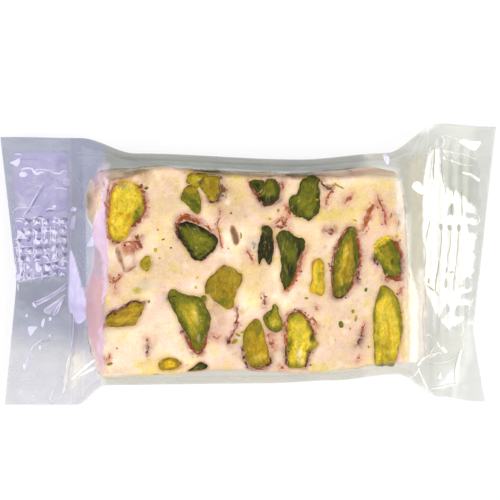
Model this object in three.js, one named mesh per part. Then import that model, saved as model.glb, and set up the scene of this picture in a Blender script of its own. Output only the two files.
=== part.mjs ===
// A bar of pistachio nougat sealed in a clear flow wrap, lying flat on its back seam.
//
// Millimetres. +X runs along the bar, +Y across it and +Z up. The origin is on the surface that the
// pack rests on, under the middle of the bar.
//
// The wrap is one tube of film. It is stretched over the bar, flattened past each end of it, and
// crimped there between jaws. The sealed pack is one solid: a ring of points round the tube is carried
// along X, and the ring changes from the bar's section to a flat band.

import * as THREE from "three";

// The bar inside the film.
const barTop = 12.5; // height of its upper face
const barStart = -34.0; // the ends of its upper face
const barEnd = 33.4;
const footStart = -37.6; // the ends of its lower face, as its cut ends slope outwards
const footEnd = 35.6;
const unevenness = 0.18; // how far the cut upper face rises and falls

// Its long edges, a little uneven as cut, as knots of X and Y.
const barFarEdge = [
  [-36, 21.4],
  [-22, 22.8],
  [8, 21.2],
  [28, 22.8],
  [36, 21.4],
];
const barNearEdge = [
  [-36, -23.0],
  [-20, -22.8],
  [-4, -21.5],
  [12, -22.1],
  [28, -20.3],
  [36, -20.4],
];

// The film round the bar.
const filmGap = 0.2; // between the bar and the film that is stretched over it
const widestHeight = 5.4; // height of the line where the tube's sides bulge most

// Where that line runs, seen from above. It is also the outline of the end seals.
const packFarEdge = [
  [-52.9, 29.8],
  [-38.6, 29.6],
  [-26.4, 26.2],
  [10, 24.8],
  [29, 26.2],
  [40.9, 32.7],
  [49, 32.0],
];
const packNearEdge = [
  [-52.9, -29.6],
  [-39.6, -29.5],
  [-33, -25.1],
  [2, -24.9],
  [17, -24.3],
  [31.6, -23.0],
  [41, -28.1],
  [49, -29.4],
];

// The end seals. Each cut edge is a shallow V in plan, with its point at kinkY.
const ends = {
  start: {
    side: -1,
    barX: barStart,
    footX: footStart,
    sealX: -41.2,
    edgeX: -52.9,
    crimps: 5,
    kinkY: -2.2,
    slopeFar: 0.112,
    slopeNear: 0.1,
  },
  end: {
    side: 1,
    barX: barEnd,
    footX: footEnd,
    sealX: 38.9,
    edgeX: 49.0,
    crimps: 4,
    kinkY: -12.6,
    slopeFar: 0.115,
    slopeNear: 0.172,
  },
};
const kinkSoftness = 1.5;
const sealThickness = 0.6;
const sealHeight = 4.8; // of a seal's middle surface, where it leaves the bar
const sealDroop = 1.6; // how far a seal has sunk at its cut edge
const sealWave = 0.7; // half the height of its slow wave across the pack
const sealWaveLength = 43;
const sealSideRound = 0.5; // width of the rounding along its sides

// The crimps that the jaws press into a seal.
const crimpPitch = 2.1;
const crimpHeight = 0.36;
const crimpMargin = 2.8; // of plain film beside them
const crimpFade = 2; // over which they die away
const crimpBow = 0.35; // share of the cut edge's V that the outermost crimp follows

// The back seam, folded flat under the pack. Its edges are given at the middle of the bar.
const seamNear = -3.0;
const seamFar = 12.4;
const seamStep = 0.15; // width of the step at each edge
const seamDepth = 0.3; // how far it stands below the film beside it

// How finely the solid is divided.
const flatColumns = 15; // across each half of the bar
const bulgeColumns = 6; // round each quarter of the tube
const flatShare = 0.8; // of the columns' range that the flat part takes
const barRings = 15;
const shoulderRings = 7;

const mix = (a, b, t) => a + (b - a) * t;
const smooth = (t) => {
  const c = Math.min(Math.max(t, 0), 1);
  return c * c * (3 - 2 * c);
};

// The value at x of a line through knots of [x, value], eased between each pair.
function along(knots, x) {
  for (let i = 1; i < knots.length; i++) {
    const [x0, v0] = knots[i - 1];
    const [x1, v1] = knots[i];
    if (x <= x1) return mix(v0, v1, smooth((x - x0) / (x1 - x0)));
  }
  return knots[knots.length - 1][1];
}

// How far a cut edge has moved out at y from the point of its V.
function edgeBow(end, y) {
  const off = y - end.kinkY;
  const slope = off > 0 ? end.slopeFar : end.slopeNear;
  return slope * (Math.hypot(off, kinkSoftness) - kinkSoftness);
}

// Height of a seal's middle surface, reach being 0 where it leaves the bar and 1 at its cut edge.
function sealSurface(reach, y) {
  const wave = sealWave * Math.cos((2 * Math.PI * y) / sealWaveLength);
  return sealHeight + (wave - sealDroop) * smooth(reach);
}

// The rings, each with its place along X, its end of the pack and whether a crimp makes it a ridge
// (1), a groove (-1) or neither (0).
function tubeRings() {
  const rings = [];
  for (let i = 1; i < barRings; i++) {
    const x = mix(barStart, barEnd, i / barRings);
    rings.push({ x, end: x < 0 ? ends.start : ends.end, ridge: 0 });
  }
  for (const end of Object.values(ends)) {
    for (let i = 0; i < shoulderRings; i++)
      rings.push({ x: mix(end.barX, end.sealX, i / shoulderRings), end, ridge: 0 });
    const last = 2 * end.crimps;
    for (let i = 0; i <= last; i++) {
      const ridge = i === 0 || i === last ? 0 : i % 2 ? 1 : -1;
      rings.push({ x: end.sealX + (end.side * i * crimpPitch) / 2, end, ridge });
    }
    rings.push({ x: end.edgeX, end, ridge: 0 });
  }
  return rings.sort((a, b) => a.x - b.x);
}

// The columns of one sheet of the tube, from -1 at the near widest line to 1 at the far one.
function sheetColumns() {
  const half = [];
  for (let i = 1; i <= flatColumns; i++) half.push((flatShare * i) / flatColumns);
  for (let i = 1; i <= bulgeColumns; i++) half.push(mix(flatShare, 1, i / bulgeColumns));
  return [...half.map((c) => -c).reverse(), 0, ...half];
}

// Half the width of the flat part of a ring at x on the bar, on the side that column c is on.
const barSide = (x, c) => (c > 0 ? along(barFarEdge, x) + filmGap : along(barNearEdge, x) - filmGap);

// The column that lies at y at the middle of the bar.
const columnAt = (y) => (flatShare * y) / Math.abs(barSide(0, y));

// How much of the back seam's depth the lower sheet has at column c.
function seamShare(c) {
  const y = (Math.abs(barSide(0, c)) * c) / flatShare;
  return smooth((y - seamNear) / seamStep) * smooth((seamFar - y) / seamStep);
}

// One point of the tube: flat between the bar's edges, then a quarter of an ellipse that ends at the
// widest line. Towards a seal, the flat part widens and both sheets close on the seal's surface.
function skinPoint({ x, end, ridge }, c, upper) {
  const topRise = smooth((x - end.sealX) / (end.barX - end.sealX));
  const footRise = smooth((x - end.sealX) / (end.footX - end.sealX));
  const far = along(packFarEdge, x);
  const near = along(packNearEdge, x);
  const widest = c > 0 ? far : near;
  const flat = mix(widest - Math.sign(c) * sealSideRound, barSide(x, c), topRise);
  const round = (Math.max(0, Math.abs(c) - flatShare) / (1 - flatShare)) * (Math.PI / 2);
  const y = round === 0 ? (flat * Math.abs(c)) / flatShare : mix(flat, widest, Math.sin(round));

  const reach = Math.max(0, (x - end.sealX) / (end.edgeX - end.sealX));
  const insideFar = smooth((far - crimpMargin - y) / crimpFade);
  const insideNear = smooth((y - near - crimpMargin) / crimpFade);
  const seal = sealSurface(reach, y) + (ridge * insideFar * insideNear * crimpHeight) / 2;
  const uneven = unevenness * (Math.sin(0.11 * x + 0.7) + Math.cos(0.16 * y - 0.05 * x));
  const top = mix(seal + sealThickness / 2, barTop + filmGap + uneven, topRise);
  const bottom = mix(seal - sealThickness / 2, seamDepth * (1 - seamShare(c)), footRise);
  const side = mix(seal, widestHeight, topRise);
  const z = mix(side, upper ? top : bottom, Math.cos(round));

  const crimped = (end.crimps * crimpPitch) / Math.abs(end.edgeX - end.sealX);
  const bowShare = mix(crimpBow * reach, 1, smooth((reach - crimped) / (1 - crimped)));
  return [x + end.side * edgeBow(end, y) * bowShare, y, z];
}

// The triangles that close a cut edge, zipping its upper row of points to its lower one.
function zip(upper, lower, yOf) {
  const triangles = [];
  let i = 0;
  let j = 0;
  while (i < upper.length - 1 || j < lower.length - 1) {
    const last = j === lower.length - 1;
    const stepUpper = last || (i < upper.length - 1 && yOf(upper[i + 1]) <= yOf(lower[j + 1]));
    const next = stepUpper ? upper[i + 1] : lower[j + 1];
    if (upper[i] !== lower[j] && next !== lower[j] && next !== upper[i])
      triangles.push([upper[i], next, lower[j]]);
    if (stepUpper) i++;
    else j++;
  }
  return triangles;
}

function sealedPackGeometry() {
  const rings = tubeRings();
  const upper = sheetColumns();
  const seam = [seamNear, seamNear + seamStep, seamFar - seamStep, seamFar].map(columnAt);
  const lower = [...upper.slice(1, -1), ...seam].sort((a, b) => b - a);
  const size = upper.length + lower.length;
  const positions = rings.flatMap((ring) => [
    ...upper.flatMap((c) => skinPoint(ring, c, true)),
    ...lower.flatMap((c) => skinPoint(ring, c, false)),
  ]);

  const index = [];
  for (let r = 0; r + 1 < rings.length; r++) {
    for (let k = 0; k < size; k++) {
      const a = r * size + k;
      const b = r * size + ((k + 1) % size);
      index.push(a, a + size, b, b, a + size, b + size);
    }
  }
  for (const first of [0, (rings.length - 1) * size]) {
    const upperRow = upper.map((_, k) => first + k);
    const lowerRow = lower.map((_, k) => first + size - 1 - k);
    const rim = [upperRow[0], ...lowerRow, upperRow[upper.length - 1]];
    for (const triangle of zip(upperRow, rim, (v) => positions[3 * v + 1]))
      index.push(...(first === 0 ? triangle : triangle.reverse()));
  }

  const geometry = new THREE.BufferGeometry();
  geometry.setAttribute("position", new THREE.Float32BufferAttribute(positions, 3));
  geometry.setIndex(index);
  geometry.computeVertexNormals();
  return geometry;
}

const clearFilm = new THREE.MeshStandardMaterial({ color: 0xd9dad6, roughness: 0.15, metalness: 0 });
const sealedPack = new THREE.Mesh(sealedPackGeometry(), clearFilm);
sealedPack.name = "sealed_pack";

const wrappedBar = new THREE.Group();
wrappedBar.add(sealedPack);

export default wrappedBar;
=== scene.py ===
"""A bar of pistachio nougat sealed in a clear flow wrap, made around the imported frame.

Sizes are in millimetres along the frame's axes: X along the bar, Y across it and Z up from the
surface that the pack lies on. Every piece is a surface worked out as numpy arrays.
"""

import bpy
import numpy as np
from mathutils import Matrix, Vector


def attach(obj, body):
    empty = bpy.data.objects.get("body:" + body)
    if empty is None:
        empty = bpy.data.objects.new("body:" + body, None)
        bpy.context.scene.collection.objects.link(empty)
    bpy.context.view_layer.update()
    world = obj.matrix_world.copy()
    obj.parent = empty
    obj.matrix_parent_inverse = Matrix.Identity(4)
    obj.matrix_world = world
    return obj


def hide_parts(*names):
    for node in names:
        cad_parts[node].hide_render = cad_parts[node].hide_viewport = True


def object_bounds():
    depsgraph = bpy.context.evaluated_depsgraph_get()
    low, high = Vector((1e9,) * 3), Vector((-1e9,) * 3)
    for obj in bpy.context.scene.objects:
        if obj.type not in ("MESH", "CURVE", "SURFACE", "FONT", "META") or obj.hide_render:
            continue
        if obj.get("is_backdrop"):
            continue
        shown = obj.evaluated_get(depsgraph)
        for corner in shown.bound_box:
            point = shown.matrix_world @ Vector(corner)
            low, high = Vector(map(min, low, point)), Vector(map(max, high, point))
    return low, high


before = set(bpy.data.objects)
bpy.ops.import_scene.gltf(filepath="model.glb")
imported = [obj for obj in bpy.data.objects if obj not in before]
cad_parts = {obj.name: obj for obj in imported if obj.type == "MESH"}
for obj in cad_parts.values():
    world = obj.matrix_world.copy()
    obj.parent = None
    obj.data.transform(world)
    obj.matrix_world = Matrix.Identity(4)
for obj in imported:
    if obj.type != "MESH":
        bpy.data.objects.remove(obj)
cad_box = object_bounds()

MM = 0.001
BODY = "root"
PACK_NODE = "sealed_pack"


# ---------------------------------------------------------------- shared shape functions


def mix(a, b, t):
    """The value that lies at share t of the way from a to b."""
    return a + (b - a) * t


def smooth(t):
    """3t^2 - 2t^3, with t held between 0 and 1."""
    t = np.clip(t, 0, 1)
    return t * t * (3 - 2 * t)


def along(knots, x):
    """The value at x of a line through knots of (x, value), eased by smooth between each pair."""
    places, values = np.array(knots, float).T
    i = np.clip(np.searchsorted(places, x, side="right") - 1, 0, len(places) - 2)
    return mix(values[i], values[i + 1], smooth((x - places[i]) / (places[i + 1] - places[i])))


def bell(distance, width):
    """exp(-(distance / width)^2), a soft hump."""
    return np.exp(-((distance / width) ** 2))


def noise(points, size, seed):
    """Soft noise from -1 to 1: random numbers on a lattice of this size in mm, eased between."""
    table = np.random.default_rng(seed).uniform(-1, 1, (32, 32, 32))
    place = np.asarray(points, float) / size
    low = np.floor(place).astype(int)
    t = smooth(place - low)
    total = 0
    for corner in np.ndindex(2, 2, 2):
        i, j, k = np.moveaxis((low + corner) % 32, -1, 0)
        total = total + table[i, j, k] * np.where(corner, t, 1 - t).prod(-1)
    return total


def noises(points, *layers):
    """A sum of soft noises, each given by its height, its size in mm and its seed."""
    return sum(height * noise(points, size, seed) for height, size, seed in layers)


def flat_points(x, y, z=0.0):
    """Points from separate coordinates, which may be arrays that fit each other's shape."""
    return np.stack(np.broadcast_arrays(x, y, z), axis=-1).astype(float)


def unit(vectors):
    """The vectors at length 1."""
    return vectors / np.maximum(np.linalg.norm(vectors, axis=-1, keepdims=True), 1e-9)


def turned(x, y, turn):
    """x, y turned anticlockwise about the origin by this many degrees."""
    c, s = np.cos(np.radians(turn)), np.sin(np.radians(turn))
    return x * c - y * s, x * s + y * c


def distance_to_segment(x, y, x0, y0, x1, y1):
    """How far x, y is from the segment: from its ends, or square to it between them."""
    dx, dy = x1 - x0, y1 - y0
    share = np.clip(((x - x0) * dx + (y - y0) * dy) / (dx * dx + dy * dy), 0, 1)
    return np.hypot(x - x0 - share * dx, y - y0 - share * dy)


def in_oval(x, y, middle_x, middle_y, length, width, turn):
    """Radius of x, y in an oval's own measure: 0 at its middle and 1 on its outline."""
    a, b = turned(x - middle_x, y - middle_y, -turn)
    return np.hypot(a * 2 / length, b * 2 / width)


def outline_distance(x, y, outline):
    """Distance of x, y from a closed outline of straight edges, positive inside it."""
    corners = np.array(outline, float)
    nearest, inside = np.full(np.shape(x), 1e9), np.zeros(np.shape(x), bool)
    for (x0, y0), (x1, y1) in zip(corners, np.roll(corners, -1, axis=0)):
        nearest = np.minimum(nearest, distance_to_segment(x, y, x0, y0, x1, y1))
        if y0 != y1:
            inside ^= ((y0 > y) != (y1 > y)) & (x < x0 + (y - y0) * (x1 - x0) / (y1 - y0))
    return np.where(inside, nearest, -nearest)


def distance_to_curve(x, y, curve, reach):
    """Distance of x, y from the nearest of a curve's points, and reach where that is further."""
    low, high = curve.min(0) - reach, curve.max(0) + reach
    close = (x > low[0]) & (x < high[0]) & (y > low[1]) & (y < high[1])
    away = np.hypot(x[close][:, None] - curve[:, 0], y[close][:, None] - curve[:, 1])
    distance = np.full(np.shape(x), float(reach))
    distance[close] = np.minimum(away.min(1), reach)
    return distance


def cubic_through(p, i, f, pick):
    """The Catmull-Rom cubic at share f from point i, where pick gives the points' row numbers."""
    a, b, c, d = (p[pick(i + k)] for k in (-1, 0, 1, 2))
    bend = (2 * a - 5 * b + 4 * c - d) * f**2 + (3 * b - a - 3 * c + d) * f**3
    return b + 0.5 * ((c - a) * f + bend)


def closed_curve(points, count):
    """A smooth closed curve through the points, anticlockwise, as this many points."""
    p = np.array(points, float)
    x, y = p.T
    if np.sum(x * np.roll(y, -1) - y * np.roll(x, -1)) < 0:
        p = p[::-1]
    t = np.linspace(0, len(p), count, endpoint=False)
    i = t.astype(int)
    return cubic_through(p, i, (t - i)[:, None], lambda k: k % len(p))


def open_curve(points, count):
    """A smooth curve through the points from the first to the last, as this many points."""
    p = np.array(points, float)
    t = np.linspace(0, len(p) - 1, count)
    i = np.minimum(t.astype(int), len(p) - 2)
    return cubic_through(p, i, (t - i)[:, None], lambda k: np.clip(k, 0, len(p) - 1))


def ribbon(path, count):
    """A smooth curve along a path, as this many points, and the way across it at each of them."""
    line = open_curve(path, count)
    return line, unit(np.gradient(line, axis=0))[:, ::-1] * (-1, 1)


def grid_faces(rows, columns, closed=False):
    """The four-cornered faces of a grid of points, closed across its columns if asked."""
    r = np.arange(rows - 1)[:, None]
    k = np.arange(columns if closed else columns - 1)[None, :]
    after = (k + 1) % columns
    a, b = r * columns + k, r * columns + after
    return np.stack([a, a + columns, b + columns, b], axis=-1).reshape(-1, 4)


# ---------------------------------------------------------------- meshes


class Parts:
    """Points, faces and point values of many small closed shapes, gathered into one piece."""

    def __init__(self):
        self.points, self.faces, self.values, self.count = [], [], {}, 0

    def rings(self, rings, flip=False, **values):
        """Adds a tube of rings of points, shut by one face at each end, with arrays of values by
        name."""
        rows, columns = rings.shape[:2]
        faces = grid_faces(rows, columns, closed=True).tolist()
        faces += [list(range(columns)), [rows * columns - 1 - k for k in range(columns)]]
        way = -1 if flip else 1
        self.faces.extend([self.count + k for k in face[::way]] for face in faces)
        self.points.append(rings.reshape(-1, 3))
        for name, value in values.items():
            self.values.setdefault(name, []).append(value.reshape((rows * columns,) + value.shape[2:]))
        self.count += rows * columns

    def mesh(self, name, material, slot):
        """The gathered shapes as one piece."""
        values = {n: np.concatenate(v) for n, v in self.values.items()}
        return piece(name, np.concatenate(self.points), self.faces, material, slot, **values)


def piece(name, points, faces, material, slot, **values):
    """A smooth-shaded piece that rides on the pack. A value of three numbers a point is a colour
    if its name ends in colour, and a vector if not."""
    mesh = bpy.data.meshes.new(name)
    mesh.from_pydata(points * MM, [], faces if isinstance(faces, list) else faces.tolist())
    for label, value in values.items():
        if value.ndim == 1:
            mesh.attributes.new(label, "FLOAT", "POINT").data.foreach_set("value", value)
        elif label.endswith("colour"):
            shown = np.concatenate([value, np.ones((len(value), 1))], axis=1)
            mesh.attributes.new(label, "FLOAT_COLOR", "POINT").data.foreach_set("color", shown.ravel())
        else:
            mesh.attributes.new(label, "FLOAT_VECTOR", "POINT").data.foreach_set("vector", value.ravel())
    mesh.shade_smooth()
    mesh.update()
    mesh.materials.append(material)
    made = bpy.data.objects.new(name, mesh)
    bpy.context.collection.objects.link(made)
    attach(made, BODY)
    return made


# ---------------------------------------------------------------- colours


def ink(red, green, blue):
    """A colour from its screen values of 0 to 255, as the light that it gives back."""
    c = np.array([red, green, blue]) / 255
    return np.where(c <= 0.04045, c / 12.92, ((c + 0.055) / 1.055) ** 2.4)


TONES = {
    "cream": ink(255, 236, 210),
    "rose": ink(248, 213, 196),
    "butter": ink(250, 224, 146),
    "lemon": ink(230, 208, 86),
    "gold": ink(252, 218, 64),
    "amber": ink(236, 188, 30),
    "olive": ink(176, 144, 22),
    "lime": ink(188, 167, 30),
    "leaf": ink(124, 122, 18),
    "moss": ink(78, 82, 8),
    "pine": ink(44, 44, 4),
    "rust": ink(188, 106, 50),
    "brick": ink(156, 76, 36),
    "wine": ink(104, 42, 22),
    "plum": ink(200, 126, 92),
    "bark": ink(124, 102, 62),
    "mist": ink(200, 190, 168),
    "haze": ink(226, 200, 166),
    "umber": ink(134, 84, 60),
    "clay": ink(176, 134, 98),
}


def stained(colour, x, y, stains):
    """The colours with each stain's soft oval, broken by noise, laid over them in turn."""
    broken = 1 + noises(flat_points(x, y), (0.3, 0.9, 15), (0.25, 0.45, 16))
    for tone, *oval, strength in stains:
        share = strength * smooth(1.5 - in_oval(x, y, *oval)) * broken
        colour = mix(colour, TONES[tone], np.clip(share, 0, 1)[..., None])
    return colour


# ---------------------------------------------------------------- shader maths


class Signal:
    """A shader socket that can be used in arithmetic. Each operation adds one Math node."""

    def __init__(self, finish, socket):
        self.finish, self.socket = finish, socket

    def maths(self, operation, *terms):
        terms = dict(enumerate(terms))
        return self.finish.node("ShaderNodeMath", {"operation": operation}, terms)

    def __add__(self, other):
        return self.maths("ADD", self, other)

    def __rsub__(self, other):
        return self.maths("SUBTRACT", other, self)

    def __mul__(self, other):
        return self.maths("MULTIPLY", self, other)

    def __truediv__(self, other):
        return self.maths("DIVIDE", self, other)

    __radd__ = __add__

    def clamped(self, low=0.0, high=1.0):
        return self.maths("MAXIMUM", self.maths("MINIMUM", self, high), low)

    def between(self, low, high):
        """0 below low, 1 above high and eased between."""
        sockets = {"Value": self, "From Min": low, "From Max": high}
        return self.finish.node("ShaderNodeMapRange", {"interpolation_type": "SMOOTHSTEP"}, sockets)


class Recipe:
    """The nodes of a material or of the world, added by short calls."""

    def __init__(self, tree):
        self.tree = tree

    def feed(self, socket, value):
        if isinstance(value, Signal):
            self.tree.links.new(value.socket, socket)
        elif socket.type == "RGBA":
            socket.default_value = (*value, 1.0)
        else:
            socket.default_value = value

    def node(self, kind, settings=None, sockets=None, output=0):
        """Adds a node: its settings come first, then the values or links of its sockets."""
        made = self.tree.nodes.new(kind)
        for label, value in (settings or {}).items():
            setattr(made, label, value)
        for label, value in (sockets or {}).items():
            self.feed(made.inputs[label], value)
        return Signal(self, made.outputs[output])

    def blend(self, share, first, second, mode="MIX"):
        """Two colours mixed by a share."""
        settings = {"data_type": "RGBA", "blend_type": mode, "clamp_factor": True}
        return self.node("ShaderNodeMix", settings, {0: share, 6: first, 7: second}, output=2)


class Finish(Recipe):
    """A material in the making, with one Principled shader."""

    def __init__(self, name, **constants):
        self.material = bpy.data.materials.new(name)
        self.material.use_nodes = True
        super().__init__(self.material.node_tree)
        self.tree.nodes.clear()
        self.shader = self.tree.nodes.new("ShaderNodeBsdfPrincipled")
        output = self.tree.nodes.new("ShaderNodeOutputMaterial")
        self.tree.links.new(self.shader.outputs[0], output.inputs["Surface"])
        self.set(**constants)

    def set(self, **sockets):
        """Sets the shader's sockets to numbers, colours or signals."""
        for label, value in sockets.items():
            self.feed(self.shader.inputs[label.replace("_", " ")], value)

    def value(self, name, output="Fac"):
        """An attribute of the piece: its number, or its Color or Vector."""
        return self.node("ShaderNodeAttribute", {"attribute_name": name}, output=output)

    def place(self, scale=(1, 1, 1), vector=None):
        """The place on the piece in mm, stretched by scale."""
        source = vector or self.node("ShaderNodeTexCoord", output="Object")
        times = 1 / MM if vector is None else 1.0
        return self.node("ShaderNodeMapping", None, {"Vector": source, "Scale": [times * s for s in scale]})

    def clouds(self, vector, size, detail=3.0, roughness=0.55, distortion=0.0):
        """Noise from 0 to 1 with features of this size in mm."""
        sockets = {"Vector": vector, "Scale": 1 / size, "Detail": detail}
        sockets |= {"Roughness": roughness, "Distortion": distortion}
        return self.node("ShaderNodeTexNoise", None, sockets)

    def bump(self, height, depth, normal=None):
        """A bump of this depth in mm from a height of 0 to 1."""
        sockets = {"Height": height, "Distance": depth * MM, "Strength": 1.0}
        if normal is not None:
            sockets["Normal"] = normal
        return self.node("ShaderNodeBump", None, sockets)


# ---------------------------------------------------------------- the bar of nougat

BAR_TOP = 12.5  # height of the bar's cut face
BAR_FOOT = 0.5  # height of its underside, on the film
BAR_HALF = np.array([33.7, 22.0, (BAR_TOP - BAR_FOOT) / 2])
EDGE_RADIUS = 1.0
UNEVENNESS = 0.18

# The cut face's four edges as knots, and how far out its sides stand lower down.
FAR_EDGE = [
    (-34, 20.6), (-29, 21), (-25.5, 22.7), (-20, 23.5), (-15.5, 23), (-12, 21.9), (0, 21.3), (8, 21.1),
    (15, 21.5), (22, 21.2), (30, 21.4), (34, 20.9),
]
FAR_FOOT = [(-36, 22.3), (-20, 23.2), (-8, 22.5), (3, 21.9), (12, 21.8), (20, 22.4), (27, 23.1), (34, 22)]
NEAR_EDGE = [
    (-34, -23.2), (-26, -22.8), (-20, -22.6), (-13, -22.15), (-9, -21.7), (-3, -21.7), (3, -22.05),
    (8, -22.3), (14, -22.2), (20, -21.6), (26, -20.7), (30, -20.2), (34, -20.2),
]
START_EDGE = [
    (-23, -34.2), (-18, -35), (-12, -34.6), (-8, -34.3), (-2, -33.9), (3, -33.6), (8, -34), (12, -34.1),
    (17, -33.3), (21, -32.8),
]
START_FOOT = [
    (-22.5, -34.8), (-19, -35.5), (-16.5, -36.4), (-13.5, -37.1), (-9, -37.4), (-5, -37.2), (-2, -36.7),
    (2, -35.7), (6, -35.4), (9, -35.8), (13, -37.3), (17, -37.4), (20, -36.5), (22, -35),
]
END_EDGE = [(-20, 33.2), (-6, 33.4), (2, 33.3), (8, 33), (13, 32.7), (16, 32.4), (19, 31.9), (21, 31)]
END_FOOT = [(-20, 36), (-7, 36.1), (-4, 35.5), (-1, 34.4), (4, 33.9), (12, 33.5), (18, 32.9), (21, 31.8)]
SPLAYED_SHARE = 0.7  # of the height, from the cut face down, over which the sides splay out


def uneven(x, y):
    """The slow rise and fall of the cut face."""
    return UNEVENNESS * (np.sin(0.11 * x + 0.7) + np.cos(0.16 * y - 0.05 * x))


def bar_edges(x, y, rise):
    """The bar's sides at a height share: start and end along X, near and far along Y."""
    out = smooth((1 - rise) / SPLAYED_SHARE)
    start = mix(along(START_EDGE, y), along(START_FOOT, y), out)
    end = mix(along(END_EDGE, y), along(END_FOOT, y), out)
    near = along(NEAR_EDGE, x)
    far = mix(along(FAR_EDGE, x), along(FAR_FOOT, x), out)
    return start, end, near, far


def bar_point(cube):
    """A point of the bar from its place in a cube of -1 to 1.

    The cube becomes a block, and the block's rounded form: past an inner block, a point is pulled
    in to a distance of one radius from it. Then its sides move to the bar's uneven edges."""
    block = cube * BAR_HALF
    core = np.clip(block, EDGE_RADIUS - BAR_HALF, BAR_HALF - EDGE_RADIUS)
    out = block - core
    length = np.maximum(np.linalg.norm(out, axis=-1, keepdims=True), 1e-9)
    rounded = core + out * np.abs(out).max(-1, keepdims=True) / length
    x, y, _ = np.moveaxis(rounded, -1, 0)
    u, v, w = np.moveaxis((rounded / BAR_HALF + 1) / 2, -1, 0)
    start, end, near, far = bar_edges(x, y, w)
    x, y = mix(start, end, u), mix(near, far, v)
    return flat_points(x, y, mix(BAR_FOOT, BAR_TOP + uneven(x, y), w))


FACES = {  # of the bar: the axis it faces, which way, and the axes of its own two coordinates
    "top": (2, 1, 0, 1),
    "under": (2, -1, 0, 1),
    "far": (1, 1, 0, 2),
    "near": (1, -1, 0, 2),
    "start": (0, -1, 1, 2),
    "end": (0, 1, 1, 2),
}


def face_cube(face, a, b, depth):
    """Cube place of a point of a face, at a, b in mm across it and depth in mm under it."""
    axis, way, first, second = FACES[face]
    if face == "top":
        start, end, near, far = bar_edges(a, b, 1.0)
        a = mix(-1, 1, (a - start) / (end - start)) * BAR_HALF[0]
        b = mix(-1, 1, (b - near) / (far - near)) * BAR_HALF[1]
    cube = np.zeros(np.broadcast(a, b, depth).shape + (3,))
    cube[..., first] = a / BAR_HALF[first]
    cube[..., second] = b / BAR_HALF[second]
    cube[..., axis] = way * (1 - depth / BAR_HALF[axis])
    return cube


def face_turned(face):
    """True if an anticlockwise outline on this face is clockwise seen from outside."""
    _, way, first, second = FACES[face]
    return way * (1 if (first, second) in ((0, 1), (1, 2)) else -1) < 0


def box_lattice(counts):
    """The points of a cube's surface on an even lattice, from -1 to 1, and its faces, facing out."""
    corners, faces, start = [], [], 0
    for axis in range(3):
        first, second = [k for k in range(3) if k != axis]
        a, b = np.meshgrid(*(np.arange(counts[k] + 1) for k in (first, second)), indexing="ij")
        quads = grid_faces(*a.shape)
        for way in (-1, 1):
            side = np.zeros(a.shape + (3,), int)
            side[..., first], side[..., second] = a, b
            side[..., axis] = counts[axis] if way > 0 else 0
            outward = way * (-1 if axis == 1 else 1) > 0
            faces.append(start + (quads if outward else quads[:, ::-1]))
            corners.append(side.reshape(-1, 3))
            start += a.size
    kept, number = np.unique(np.concatenate(corners), axis=0, return_inverse=True)
    return 2 * kept / np.array(counts) - 1, number.reshape(-1)[np.concatenate(faces)]


# Hollows in the cut face: depth, tone, its share, outline. The tone is painted shade in the hollow,
# and the painted shade and light of its walls follows.
HOLLOWS = [
    (1.2, "clay", 0.9, [(-5.8, 10.5), (-5, 10.3), (-4.3, 9.2), (-3.8, 7.8), (-3.9, 6.7), (-4.6, 6.1),
      (-5.2, 6.6), (-5.7, 8), (-6, 9.5)]),
    (0.8, "haze", 0.45, [(-30.2, 6.4), (-31.2, 5.2), (-31.1, 3.6), (-30.1, 1.8), (-29.6, 0.4), (-28.4, 0.3),
      (-27, 1), (-26.3, 2), (-26.6, 4.6), (-27, 6.6), (-28.4, 6.2)]),
]
HOLLOW_SHADING = [
    ("umber", -5.4, 9.2, 0.9, 3, 14, 0.7), ("clay", -4.6, 7, 1.2, 1.8, 0, 0.7),
    ("clay", -30.3, 3.8, 5, 1.3, -70, 1), ("umber", -30.6, 4.6, 3.4, 0.8, -72, 0.9),
    ("umber", -29.5, 1.6, 3, 0.5, -75, 0.8), ("plum", -28.2, 5.2, 3.2, 2.4, 0, 1),
    ("brick", -27.2, 4.6, 0.7, 1.8, 0, 0.5), ("cream", -28.4, 2.8, 2, 2.2, 0, 0.8),
    ("plum", -27.2, 0.9, 3.4, 1, 22, 0.9), ("lime", -28.9, 3.9, 0.8, 0.8, 0, 0.4),
]

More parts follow.
